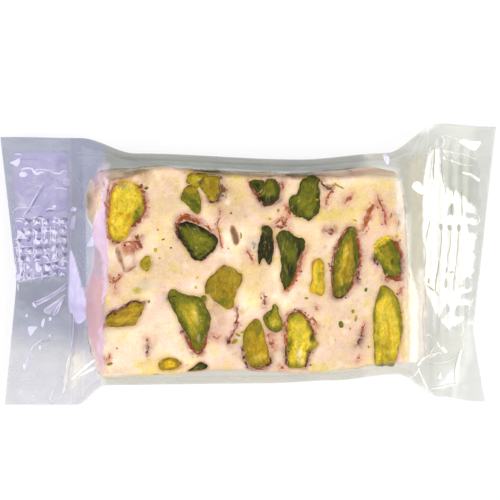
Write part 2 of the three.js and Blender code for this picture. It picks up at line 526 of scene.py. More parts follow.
# Soft colour in the cut face: tone, x, y, length, width, turn, strength.
STAINS = [
    # The haze stain at 24, 0 is painted shade over the right half of the cut face.
    ("butter", 17, 13.2, 15, 6, 12, 0.8), ("haze", 24, 0, 26, 30, 0, 0.35),
    ("haze", 19, -15, 16, 10, 0, 0.4), ("haze", -5.5, 15.5, 10, 9, 0, 0.9),
    ("clay", -9, -9.8, 4.6, 10, 12, 0.75), ("haze", -6, 16.4, 7, 8, 0, 0.35),
    ("haze", -0.8, 0.4, 7, 9, 0, 0.6), ("haze", -17, 2.5, 15, 8, 10, 0.75), ("haze", -21, 17, 8, 9, 0, 0.6),
    ("butter", -22, 14.6, 6, 5, 0, 0.5), ("butter", -1, -1, 5, 8, 0, 0.5),
    ("butter", 25, 17.6, 12, 4, 0, 0.7), ("lemon", -22, -19.4, 7, 4, 0, 0.5),
    ("brick", -14.2, 11.6, 6, 1.2, -8, 0.75), ("plum", -12.6, 11.2, 4, 1.3, -25, 0.4),
    ("rose", -26, -17, 12, 7, 0, 0.5), ("plum", 26.9, 1, 1.4, 3.6, -35, 0.6),
    ("umber", 26.3, 2.3, 0.8, 1.8, -30, 0.6), ("rose", 14.9, 21, 1.4, 1.8, 0, 0.6),
    ("rust", 3.3, -15.2, 1.5, 5, -10, 0.55), ("mist", -26.4, -3.4, 5.4, 3.4, 20, 0.5),
    ("lemon", 32.4, -11.6, 1.3, 13, 0, 0.8), ("lemon", 31.2, 7.8, 1.8, 5, 0, 0.5),
    # The long clay and bark stains along the far edge, on this line and the next three, are partly painted
    # shade of the far side and partly kernels in it.
    ("clay", 7, 21.2, 22, 1.4, -1, 0.45), ("bark", 5, 21.7, 24, 1.1, -1, 0.7),
    ("bark", -9.4, 21.8, 11, 1.5, -3, 0.85), ("lemon", -5, 21.2, 4, 1.2, -4, 0.4),
    ("clay", -19.5, 23.1, 12, 1, 0, 0.4), ("clay", -24.5, 21.6, 3.4, 3, 30, 0.6),
    ("clay", -30.5, 20.9, 7, 1.3, 3, 0.8), ("lemon", 18.5, 13.4, 9, 2.6, 14, 0.35),
    ("lemon", 11.5, 9, 7, 2, 20, 0.3), ("lemon", -4, 18.6, 4, 4, 0, 0.3),
    ("lemon", 22.5, 17, 2.4, 3.4, 0, 0.3), ("lemon", 29.4, 13.6, 1.4, 6, -5, 0.4),
    ("lemon", 14.4, -14.4, 4.5, 3, 10, 0.3), ("butter", 8, 9, 14, 8, -30, 0.25),
    ("cream", 10.5, 10.2, 7, 2.6, -10, 0.6), ("butter", -22, 9.5, 12, 7, 20, 0.35),
    ("butter", -4, 18.4, 10, 7, 0, 0.6), ("butter", -28, -3.5, 9, 7, 0, 0.5),
    ("butter", 14.5, -12.5, 7, 6, 0, 0.6), ("lemon", -24.4, -20.6, 4.6, 4, 0, 0.9),
    ("butter", -20.5, -21.5, 13, 3, 0, 0.9), ("lemon", 13.6, -20.9, 6.5, 2.2, 2, 0.7),
    ("lemon", 29.3, 18.6, 1.6, 3, 0, 0.8), ("lemon", -19.4, 9.8, 2, 1, 0, 0.6),
    ("lemon", -22, 10.7, 1.6, 1, 30, 0.4), ("lemon", -8.6, 14.8, 3, 0.9, 0, 0.6),
    ("lemon", 2.8, 12, 1.3, 0.9, 0, 0.75), ("lemon", 21.4, 11, 2.2, 1.2, -20, 0.6),
    ("lemon", 16, 12.3, 5, 1.1, 15, 0.5), ("lemon", -30.2, -5.6, 1.8, 1.6, 0, 0.55),
    ("lemon", -7, -20.9, 5, 0.9, -3, 0.6), ("lemon", 20.7, -20.4, 1, 2.4, 25, 0.55),
    ("lemon", 32.8, -7.5, 1.2, 1.2, 0, 0.7), ("lemon", 32.6, -17.5, 1.6, 5, 0, 0.4),
    ("lemon", -3.6, 21, 2.4, 0.9, 0, 0.5), ("lemon", 0, -2.2, 0.9, 1.3, 0, 0.6),
    # The mist stains at -26.4, -3.4 and on this line are painted shadow beside the lime stain, a kernel
    # under the surface.
    ("mist", -25.2, -2.8, 3.6, 2.6, 30, 0.5), ("lime", -26.4, -3.8, 2.2, 1.4, 10, 0.8),
    ("mist", 16.4, 9.6, 3.8, 3, 20, 0.3), ("mist", 0.9, 7.2, 3.2, 5.6, 80, 0.25),
    ("rose", 20, -14.5, 16, 10, 10, 0.6), ("rose", -8, 3.5, 9, 7, 0, 0.35),
    ("rose", -7.5, -12, 6, 9, 0, 0.45), ("rose", 26, 4, 7, 12, 0, 0.35), ("butter", 27, 14, 14, 9, 20, 0.5),
    # The cream stain at 31.2, 17.6 is painted light on the bar's rounded corner, where it turns from the
    # light.
    ("cream", 22, 19.8, 9, 1.2, 0, 0.8), ("cream", 31.2, 17.6, 2.4, 9, -5, 1),
    ("clay", -24.1, 12.4, 1.4, 1, 0, 0.6), ("plum", -22.2, -14.9, 1.6, 1.8, 0, 0.6),
    ("butter", 25, 18, 12, 5, 0, 0.5), ("clay", 16.6, 13.4, 8, 5, 10, 0.16),
    ("clay", -6, 16, 9, 9, 0, 0.28), ("clay", -0.8, -0.6, 6, 8, 0, 0.14),
    ("clay", -21.4, 17, 8, 11, 0, 0.16), ("clay", 19.4, -14.6, 11, 13, 0, 0.13),
    ("lemon", 17.5, -18.6, 5, 2.2, 20, 0.3), ("cream", -20, -13, 14, 9, 10, 0.6),
    ("cream", -28, -15, 9, 7, 0, 0.6), ("cream", -25.8, 5.6, 5, 4, 0, 0.5),
    ("cream", 19.5, -5.4, 8, 5, 0, 0.45), ("haze", -22, 16, 9, 6, 0, 0.5),
    ("haze", 1.2, 6.6, 6.5, 11, 0, 0.5), ("haze", -5.4, 14.5, 6, 5, 0, 0.35),
    ("haze", -20.6, 13.6, 5, 2.4, 20, 0.3), ("haze", 13.4, -4.2, 6, 8, 0, 0.6),
    ("haze", 18.4, -9, 8, 3, 15, 0.35), ("haze", 30.8, -3.4, 3.4, 3.4, 0, 0.7),
    ("haze", 22, 17, 16, 5, 5, 0.4), ("haze", 24, -17, 12, 6, 8, 0.4), ("haze", 17, -1, 10, 12, 0, 0.25),
    ("haze", 23.4, 3, 3, 9, 10, 0.4), ("haze", 28.4, 16.5, 5, 4, -40, 0.45),
    ("haze", -30.5, -3.4, 4, 6, 0, 0.4), ("haze", 8.8, 10.6, 6, 2.5, 20, 0.3),
    ("haze", 2.6, -15.5, 1, 7, 0, 0.6), ("plum", 28.1, 12.4, 2.4, 6.4, 8, 0.45),
    ("plum", -25.6, 7, 3, 2.4, 40, 0.2), ("plum", -24.9, 16, 1.4, 5, 5, 0.25),
]


# Soft colour that shows in the bar's walls round the cut face. The bark, olive and clay stains along
# the far edge are partly painted shade of the far side.
WALL_STAINS = [
    ("clay", -30.6, 21.7, 5.5, 2.4, 6, 0.2), ("bark", -26.6, 22.2, 4.6, 1.6, 12, 0.6),
    ("bark", -27.6, 22.6, 4.4, 1.6, 5, 0.7), ("olive", -25.6, 22.4, 3.4, 1.2, 10, 0.4),
    ("bark", -10.6, 22.2, 10, 2, -4, 0.7), ("olive", -12.4, 22.2, 7, 1.6, -3, 0.5),
    ("bark", -4.4, 21.9, 7, 1.8, -5, 0.5), ("clay", 2.8, 21.6, 10, 1.6, 0, 0.6),
    ("bark", 10.6, 21.5, 7.4, 1.7, 2, 0.8), ("umber", 15.4, 21.6, 2.8, 1.8, 0, 0.35),
    ("haze", 24, 22.2, 15, 2.4, 5, 0.6), ("plum", 22.3, 21.8, 3.6, 1.1, 5, 0.45),
    ("bark", 28.9, 22.6, 4.4, 0.9, -18, 0.3), ("rose", -35.4, 17.6, 3, 8, 0, 0.7),
    ("bark", -37.2, 15.6, 2, 4.2, 0, 0.6), ("olive", -37.4, 16.4, 1.2, 2.2, 0, 0.4),
    ("plum", -35.2, 18.6, 1.2, 4, 0, 0.4), ("plum", -35.9, -12.5, 2.4, 9, 0, 0.35),
]

# Flecks strewn over the cut face: tone, how many, least and greatest length, strength.
FLECK_TONES = [
    ("lemon", 170, 0.6, 2.2, 0.6), ("rust", 70, 0.35, 1.0, 0.5), ("haze", 70, 1.0, 3.2, 0.6),
    ("cream", 50, 0.8, 2.4, 0.8), ("clay", 40, 0.5, 1.4, 0.4), ("lime", 45, 0.4, 1.3, 0.4),
]


def flecks(rng):
    """Small soft stains at random places of the cut face."""
    for tone, count, least, most, strength in FLECK_TONES:
        for _ in range(count):
            x, y = rng.uniform(-1, 1, 2) * BAR_HALF[:2]
            length = rng.uniform(least, most)
            turn = rng.uniform(0, 180)
            yield tone, x, y, length, length * rng.uniform(0.4, 1.0), turn, strength * rng.uniform(0.4, 1)


CUT_STAIN_DEPTH, CUT_STAIN_FADE = 2.5, 1.5  # how far the cut face's stains go down, and fade


def bar_colour(points):
    """Cream with clouds of rose and butter, the walls' stains, and the cut face's own on top."""
    x, y, z = points.T
    rose = 0.8 * smooth(noises(points, (1.3, 6.0, 3), (0.6, 2.2, 5)) + 0.45)
    butter = 0.65 * smooth(1.3 * noise(points + 40, 5.0, 4) + 0.7 * noise(points, 1.6, 6) - 0.05)
    shade = 0.975 + noises(points, (0.17, 7.0, 7), (0.14, 2.4, 8), (0.06, 0.9, 9))
    colour = mix(TONES["cream"], TONES["rose"], rose[:, None])
    colour = mix(colour, TONES["butter"], butter[:, None]) * shade[:, None]
    colour = stained(colour, x, y, WALL_STAINS)
    cut = stained(colour, x, y, STAINS + list(flecks(np.random.default_rng(5))))
    return mix(colour, cut, smooth((z - BAR_TOP + CUT_STAIN_DEPTH) / CUT_STAIN_FADE)[:, None])


def hollowed(colour, x, y):
    """The colours with painted shade laid into the hollows, and the shade and light painted on their
    walls, and the hollows' depth: flat inside an outline, with steep walls."""
    deep = np.zeros(np.shape(x))
    for depth, tone, share, outline in HOLLOWS:
        inside = outline_distance(x, y, closed_curve(outline, 40))
        colour = mix(colour, TONES[tone], share * smooth((inside + 0.15) / 0.4)[..., None])
        deep = np.maximum(deep, depth * smooth((inside + 0.1) / 0.7))
    return mix(colour, stained(colour, x, y, HOLLOW_SHADING), smooth(deep / 0.2)[..., None]), deep


# ---------------------------------------------------------------- the kernels

# Cut kernels in the shown face: heart tone, rim tone, share of the face that is heart, outline.
KERNELS = [
    ("gold", "amber", 0.9, [(-29, 20.3), (-26.9, 20), (-25.5, 18.5), (-24.9, 15.5), (-25, 13.4),
      (-26.3, 11.6), (-27.8, 10.2), (-28.2, 8.4), (-30.4, 7), (-32.2, 7.8), (-32.8, 11), (-32.6, 14.5),
      (-31.8, 18.6), (-30.8, 19.9)]),
    ("olive", "olive", 0.6, [(-12.4, 20.2), (-11.3, 21.3), (-9.4, 21.6), (-8.4, 20.8), (-8.1, 18.4),
      (-7.8, 17.2), (-9, 15.9), (-10.5, 15.9), (-11.4, 17.4), (-12.7, 19.2)]),
    ("lime", "olive", 0.8, [(-15.5, 20.7), (-14.9, 21.7), (-12.8, 22.1), (-10.8, 21.8), (-11.8, 20.8),
      (-12.7, 19.3), (-13.3, 18.8), (-14.4, 19.4), (-15.3, 19.8)]),
    ("leaf", "leaf", 0.7, [(-16.7, 16.4), (-15.9, 18.6), (-14.3, 19.3), (-12.9, 18), (-12.2, 15.8),
      (-12.4, 13.8), (-13.2, 13.2), (-14.4, 14.2), (-15.4, 15.4)]),
    ("leaf", "pine", 0.75, [(-17.5, 9.2), (-17.2, 10.7), (-15.6, 11.3), (-13, 10.6), (-11, 9.4),
      (-9.2, 8.2), (-8.7, 6.8), (-9.4, 5.2), (-10.7, 3.9), (-12.2, 2.8), (-13.8, 3), (-15.2, 4.7),
      (-16.4, 6.4), (-17.2, 8)]),
    ("leaf", "moss", 0.7, [(1, 18), (1.6, 19.6), (2.5, 20.7), (3.8, 20.8), (4.7, 19.7), (5.1, 18),
      (5, 16.4), (3.6, 15.5), (2.4, 15.1), (1.2, 15.3), (0.2, 16.9)]),
    ("pine", "moss", 0.5, [(-1.3, 20.2), (0.2, 20.5), (1.7, 20.1), (1.2, 18.8), (0.2, 17.6), (-0.9, 18.7)]),
    ("leaf", "moss", 0.8, [(7.1, 15.5), (7.8, 16.9), (9, 17.4), (9.5, 18.9), (10.2, 20.6), (11.4, 21.1),
      (13, 21.1), (13.9, 20.4), (13.6, 18.8), (13.9, 16.9), (13.8, 14), (12.6, 12.4), (11.5, 11.5),
      (9.8, 12.2), (8.3, 12.5), (7.5, 13.7)]),
    ("pine", "pine", 0.6, [(1.1, 10.2), (2.3, 10.4), (3.1, 9.7), (3.6, 8), (3.7, 6), (3.4, 3.6), (2.7, 1.9),
      (1.8, 3), (1.2, 2.9), (0.5, 1.9), (0.3, 4.5), (0.5, 6.8), (1, 8.4)]),
    ("leaf", "moss", 0.45, [(4.3, 7.3), (4.9, 8.8), (6.3, 9.5), (7.6, 8.8), (8.6, 7.9), (10.2, 7.4),
      (10.5, 6), (9.9, 4.2), (9, 2.4), (8.4, 0.3), (8, -1.3), (7.2, -2.6), (6.2, -3.7), (5.5, -2.2),
      (5.2, -0.6), (5.4, 1.6), (5.2, 4.4), (4.6, 6.3)]),
    ("olive", "leaf", 0.75, [(20.8, 10.1), (21.8, 9.6), (22, 8), (22.4, 5.4), (22.4, 3), (21.8, 0.4),
      (21.1, -2), (20, -4.2), (18.5, -5.2), (17.4, -5.5), (16.9, -3.6), (16.8, -0.4), (16.9, 2.4),
      (17.7, 5.4), (18.8, 7.8), (19.9, 9.4)]),
    ("lime", "leaf", 0.55, [(26.2, 5.6), (27.4, 6.7), (28.8, 7.5), (29.9, 7.1), (31, 5.2), (31.8, 2.4),
      (31.6, 0.2), (30.6, -0.9), (29, -0.9), (28, 0), (27.5, 1.6), (26.6, 2.5), (25.8, 3.8)]),
    ("olive", "lime", 0.6, [(-24.7, 3.5), (-23.7, 3.7), (-23.3, 2.5), (-23.6, 1), (-24.3, 0.4), (-25.1, 1),
      (-25.6, 2.3)]),
    ("amber", "olive", 0.65, [(-33.5, -11), (-33.2, -9.8), (-31.5, -8.7), (-29.4, -7.6), (-27.2, -6.5),
      (-25.3, -6.7), (-24.9, -7.4), (-25.5, -8.8), (-26.4, -10.8), (-27.4, -11.7), (-30, -11.8),
      (-32.4, -11.8)]),
    ("olive", "olive", 0.8, [(-7.3, 1.8), (-5.6, 1.1), (-4.3, 0.2), (-3.4, -0.4), (-3.6, -2.2),
      (-4.6, -4.3), (-5.1, -6), (-5.3, -7.5), (-6.8, -7.7), (-8.6, -6.6), (-10.2, -5.1), (-11.2, -4.3),
      (-11.2, -2.3), (-10, -0.6), (-8.6, 0.8)]),
    ("leaf", "leaf", 0.5, [(-12.1, -5.2), (-11.3, -5), (-10.9, -5.8), (-11.5, -6.5), (-12.1, -6.1)]),
    ("lime", "leaf", 0.5, [(-19.5, -5.4), (-19.3, -4.3), (-18.2, -3.6), (-16.6, -4.5), (-14.8, -4.8),
      (-12.8, -5.3), (-11.4, -7), (-10.4, -9.4), (-10.4, -11.6), (-11.2, -14.4), (-12, -16.8), (-13, -17.6),
      (-13.9, -16.7), (-15.3, -14), (-16.8, -11.4), (-18, -8.8), (-19, -7)]),
    ("gold", "amber", 0.7, [(12.5, 2.8), (13.9, 3), (14.6, 1.6), (14.7, -0.8), (14.8, -3.2), (14.3, -4.9),
      (13, -4.5), (11.9, -4.1), (11.7, -3), (12.2, -1.4), (12.1, 0.8)]),
    ("gold", "lime", 0.8, [(27.7, -3), (29, -3.5), (30.5, -5), (31.6, -7.2), (32.2, -10.6), (32, -13.6),
      (31.3, -16.6), (30.4, -20.3), (28.3, -20.6), (26.2, -20.4), (26.1, -17), (25.8, -13), (25.8, -9),
      (26.4, -5.8)]),
    ("amber", "olive", 0.6, [(-21.7, -20.2), (-20.8, -19.2), (-19.4, -18.8), (-17.9, -19.1), (-16.7, -19.9),
      (-17.6, -20.9), (-19.2, -21.4), (-21.2, -21.3)]),
    ("moss", "pine", 0.6, [(-15.1, -21.7), (-13.9, -20.8), (-12.7, -19.8), (-11.7, -19.9), (-10.9, -20.8),
      (-11.8, -21.6), (-13.5, -21.7)]),
    ("amber", "olive", 0.75, [(-0.6, -10.4), (0.5, -10.6), (1.2, -11.9), (1.7, -14.4), (2.4, -16.7),
      (3, -18.7), (2.4, -20.2), (0.6, -20.8), (-1.2, -20.6), (-2.4, -19), (-2.9, -16.5), (-2.9, -14.2),
      (-2.2, -12)]),
    ("lime", "leaf", 0.7, [(3.8, -6.9), (4.4, -7.4), (5, -9.2), (5.6, -11), (5.4, -12.5), (4, -13),
      (2.6, -12.5), (1.8, -11), (1.5, -9.6), (2.8, -8.4)]),
    ("gold", "lime", 0.75, [(7.2, -9.5), (8.8, -8.7), (10.2, -9.5), (11.6, -11.9), (12.8, -14.5),
      (13.4, -15.7), (12.4, -16.9), (11.4, -18.2), (10.6, -20.6), (9, -20.9), (7.2, -20.8), (6.7, -18.4),
      (6.6, -15), (6.6, -11.6)]),
]

# Soft colour in the cut kernels: tone, x, y, length, width, turn, strength.
KERNEL_STAINS = [
    ("leaf", -26.1, 12.8, 4.8, 2, 66, 0.9), ("olive", -25.9, 18, 3.2, 1.2, -60, 0.6),
    ("mist", -29.6, 19.2, 4.4, 1, 0, 0.55), ("olive", -30.6, 7.8, 2.6, 0.9, 0, 0.6),
    ("amber", -29.2, 12.4, 3.4, 1.4, -20, 0.8), ("amber", -31.8, 14.8, 1.2, 3, 10, 0.6),
    ("amber", -29.8, 9.8, 1.6, 1.6, 0, 0.5), ("olive", -14.6, 18.2, 3, 1.4, 0, 0.9),
    ("moss", -13.6, 14.8, 2.2, 1.6, -30, 0.4), ("bark", -12.4, 20, 1.6, 1, 0, 0.8),
    ("bark", -8.6, 17, 2.4, 0.9, 45, 0.8), ("pine", -16.8, 9, 1, 3.2, 20, 0.5),
    ("pine", -14.6, 3.8, 3, 1.2, -40, 0.5), ("pine", -9.6, 7.2, 1.2, 2.2, 0, 0.5),
    ("lime", -11.4, 4.4, 3.4, 0.4, 38, 0.5), ("pine", 2.2, 16.2, 3.8, 1.9, 0, 0.95),
    ("pine", 4.7, 17.2, 0.8, 2.4, 0, 0.8), ("pine", 8.4, 14, 1.2, 3.4, -10, 0.6),
    ("pine", 13.4, 16.8, 0.7, 3.4, 0, 0.6), ("moss", 2.6, 9.2, 1.8, 2, 0, 0.7),
    ("pine", 9.4, 5.2, 1.4, 3.6, -10, 0.9), ("pine", 7.4, 0.6, 1.6, 4.4, 15, 0.7),
    ("pine", 5.9, 1, 0.5, 2.4, 0, 0.5), ("gold", 19.4, 3.6, 1, 4.8, -8, 0.5),
    ("gold", 18.4, -1.2, 0.9, 3, 8, 0.4), ("moss", 21.6, 4.6, 0.8, 7.4, 5, 0.9),
    ("moss", 19.6, -3.2, 2.6, 1.4, 30, 0.7), ("moss", 20.6, 9, 1.4, 1.6, 0, 0.6),
    ("gold", 27.8, 6.9, 4, 1.3, 32, 1), ("gold", 26.3, 5, 1.4, 1.6, 40, 0.7),
    ("olive", 28.4, 4.8, 1.2, 2.4, -30, 0.7), ("moss", 29.8, 2.2, 0.8, 1.2, 0, 0.8),
    ("moss", 30.9, 4.2, 0.9, 3, 15, 0.6), ("moss", 28.4, 0.6, 1.4, 1.4, 0, 0.5),
    ("olive", -28.6, -8.4, 6.2, 1.8, 22, 0.8), ("gold", -28.4, -10.4, 5.6, 1.1, 4, 0.5),
    ("bark", -7, 1, 2.6, 1.2, -30, 0.3), ("leaf", -7.4, -6.4, 4.4, 1.6, 25, 0.7),
    ("leaf", -10.6, -3.2, 1.4, 3.6, 0, 0.5), ("moss", -18.6, -6.8, 1.2, 3.6, 25, 0.6),
    ("moss", -16.4, -11.4, 1.1, 6, 28, 0.7), ("leaf", -18, -4.6, 2.8, 1.2, -10, 0.8),
    ("moss", -10.9, -10.4, 1, 6.6, -6, 0.7), ("gold", -13.8, -8.8, 1.6, 3.8, 10, 0.6),
    ("gold", -15.2, -8.8, 3.6, 5.4, 25, 0.2), ("cream", -13.5, -9.6, 0.5, 3, 12, 0.4),
    ("cream", -12.9, -14.4, 0.6, 1.8, 0, 0.35), ("olive", -0.2, -14.4, 5, 10, 8, 0.45),
    ("umber", -29, -9.6, 8, 4, 20, 0.25), ("leaf", 0.6, -12.4, 0.9, 4.6, -18, 0.6),
    ("lemon", 0.2, -18.8, 3.2, 1.6, 10, 0.6), ("moss", 2.2, -9.9, 0.6, 0.6, 0, 0.9),
    ("lemon", 3.9, -11, 1.8, 1.6, 0, 0.6), ("moss", 3.2, -8.8, 0.6, 2, -25, 0.5),
    # The cream stain at 9.4, -18.4 is a painted highlight on this kernel.
    ("cream", 9.4, -18.4, 1.2, 3.6, 8, 0.6), ("lemon", 9.3, -13.4, 1.6, 5.4, 5, 0.5),
    ("moss", 12.2, -14.6, 1.2, 2.4, 0, 0.9), ("moss", 11.4, -17.6, 0.9, 3, -25, 0.7),
    ("amber", 29.1, -12.8, 0.45, 7, 3, 0.9), ("lemon", 28, -10, 1.2, 5, 0, 0.6),
    ("lemon", 30.2, -10.6, 0.9, 4, 0, 0.5), ("olive", 28, -15.6, 3, 3, 0, 0.4),
    ("amber", 28.6, -19.6, 4.4, 1.4, 0, 0.6), ("leaf", 27, -5, 1.6, 3.6, -25, 0.7),
    ("leaf", 31.4, -9.4, 1, 9, 8, 0.6), ("leaf", 26, -9, 0.7, 7, 0, 0.6),
    ("leaf", 8.6, -9.6, 3.6, 1.4, 0, 0.5), ("leaf", -2.3, -14, 1, 6, 8, 0.5),
    ("olive", 13.9, -0.6, 1.2, 5.6, 0, 0.45), ("leaf", -0.6, -12, 2.6, 3, 0, 0.55),
    ("leaf", 28.4, 3.6, 2.6, 3.4, -30, 0.4),
]

KERNEL_AROUND, SIDE_KERNEL_AROUND = 96, 48  # points round a kernel of the cut face, and of the walls
# Rows of a kernel from the middle of its cut face outwards and round its body: share of the
# outline's radius, and depth under the bar's surface. The body's depth is a share of its width.
FACE_ROWS = [
    (0.03, -0.1), (0.1, -0.1), (0.18, -0.1), (0.26, -0.1), (0.34, -0.1), (0.42, -0.09), (0.5, -0.09),
    (0.58, -0.09), (0.66, -0.08), (0.73, -0.08), (0.8, -0.07), (0.87, -0.06), (0.93, -0.03), (0.98, 0.03),
    (1.015, 0.12), (1.03, 0.35),
]
BODY_TURNS = np.radians([20, 40, 60, 80])
BODY_DEPTH = 0.4


def kernel(parts, outline, heart, rim, heart_share, face, seed, stains=()):
    """Adds a kernel: rings that grow from the middle of the cut face to the outline, then shrink
    down a rounded body. Its colour goes from heart to rim with the ring's share of the outline."""
    edge = closed_curve(outline, KERNEL_AROUND if face == "top" else SIDE_KERNEL_AROUND)
    middle = edge.mean(0)
    spread = edge - middle
    _, axes = np.linalg.eigh(spread.T @ spread)
    across, length = (spread @ axes).T
    width = np.ptp(across)
    shares, depths = (list(v) for v in zip(*FACE_ROWS))
    shares += list(shares[-1] * np.cos(BODY_TURNS))
    depths += list(depths[-1] + BODY_DEPTH * width * np.sin(BODY_TURNS))
    shares, depths = np.array(shares)[:, None], np.array(depths)[:, None]
    plan = middle + shares[..., None] * spread
    grain = flat_points(shares * length, shares * across, 17.0 * seed)
    wander = [noises(grain + 5 * k, (0.2, 1.1, 25), (0.12, 0.5, 26)) for k in (0, 1)]
    plan = plan + np.stack(wander, axis=-1) * smooth((shares - 0.7) / 0.3)[..., None]
    lumps = 0.22 * noise(grain * (0.6, 1, 1), 1.4, 21) + 0.14 * noise(grain, 0.7, 22)
    depth = depths + lumps * smooth((1.03 - shares) / 0.1)
    a, b = plan[..., 0], plan[..., 1]
    points = bar_point(face_cube(face, a, b, depth))
    ragged = 0.3 * noise(grain * (0.4, 1, 1), 1.6, 23) + 0.14 * noise(grain, 0.6, 24)
    to_rim = smooth((shares - heart_share + ragged + 0.2) / 0.4)
    # Pale specks, partly pale grains and partly painted glints.
    specks = 0.4 * smooth(6 * noise(grain, 0.4, 29) - 4.5)
    colour = mix(TONES[heart], TONES[rim], to_rim[..., None])
    # Painted shade: the rim darkens, broken by noise, where the kernel meets the nougat.
    dark = smooth((shares - 0.86) / 0.14) * smooth(1.5 * noise(grain, 1.2, 27) + 0.5)
    colour = colour * mix(1, 0.52, dark)[..., None]
    pits = smooth(4 * noise(grain, 0.55, 28) - 2.2)
    colour = mix(colour * mix(1, 0.5, pits)[..., None], TONES["cream"], specks[..., None])
    if face == "top":
        colour = stained(colour, a, b, stains)
    parts.rings(points, flip=face_turned(face), kernel_colour=colour, grain=grain)


# ---------------------------------------------------------------- skins, shreds and crumbs

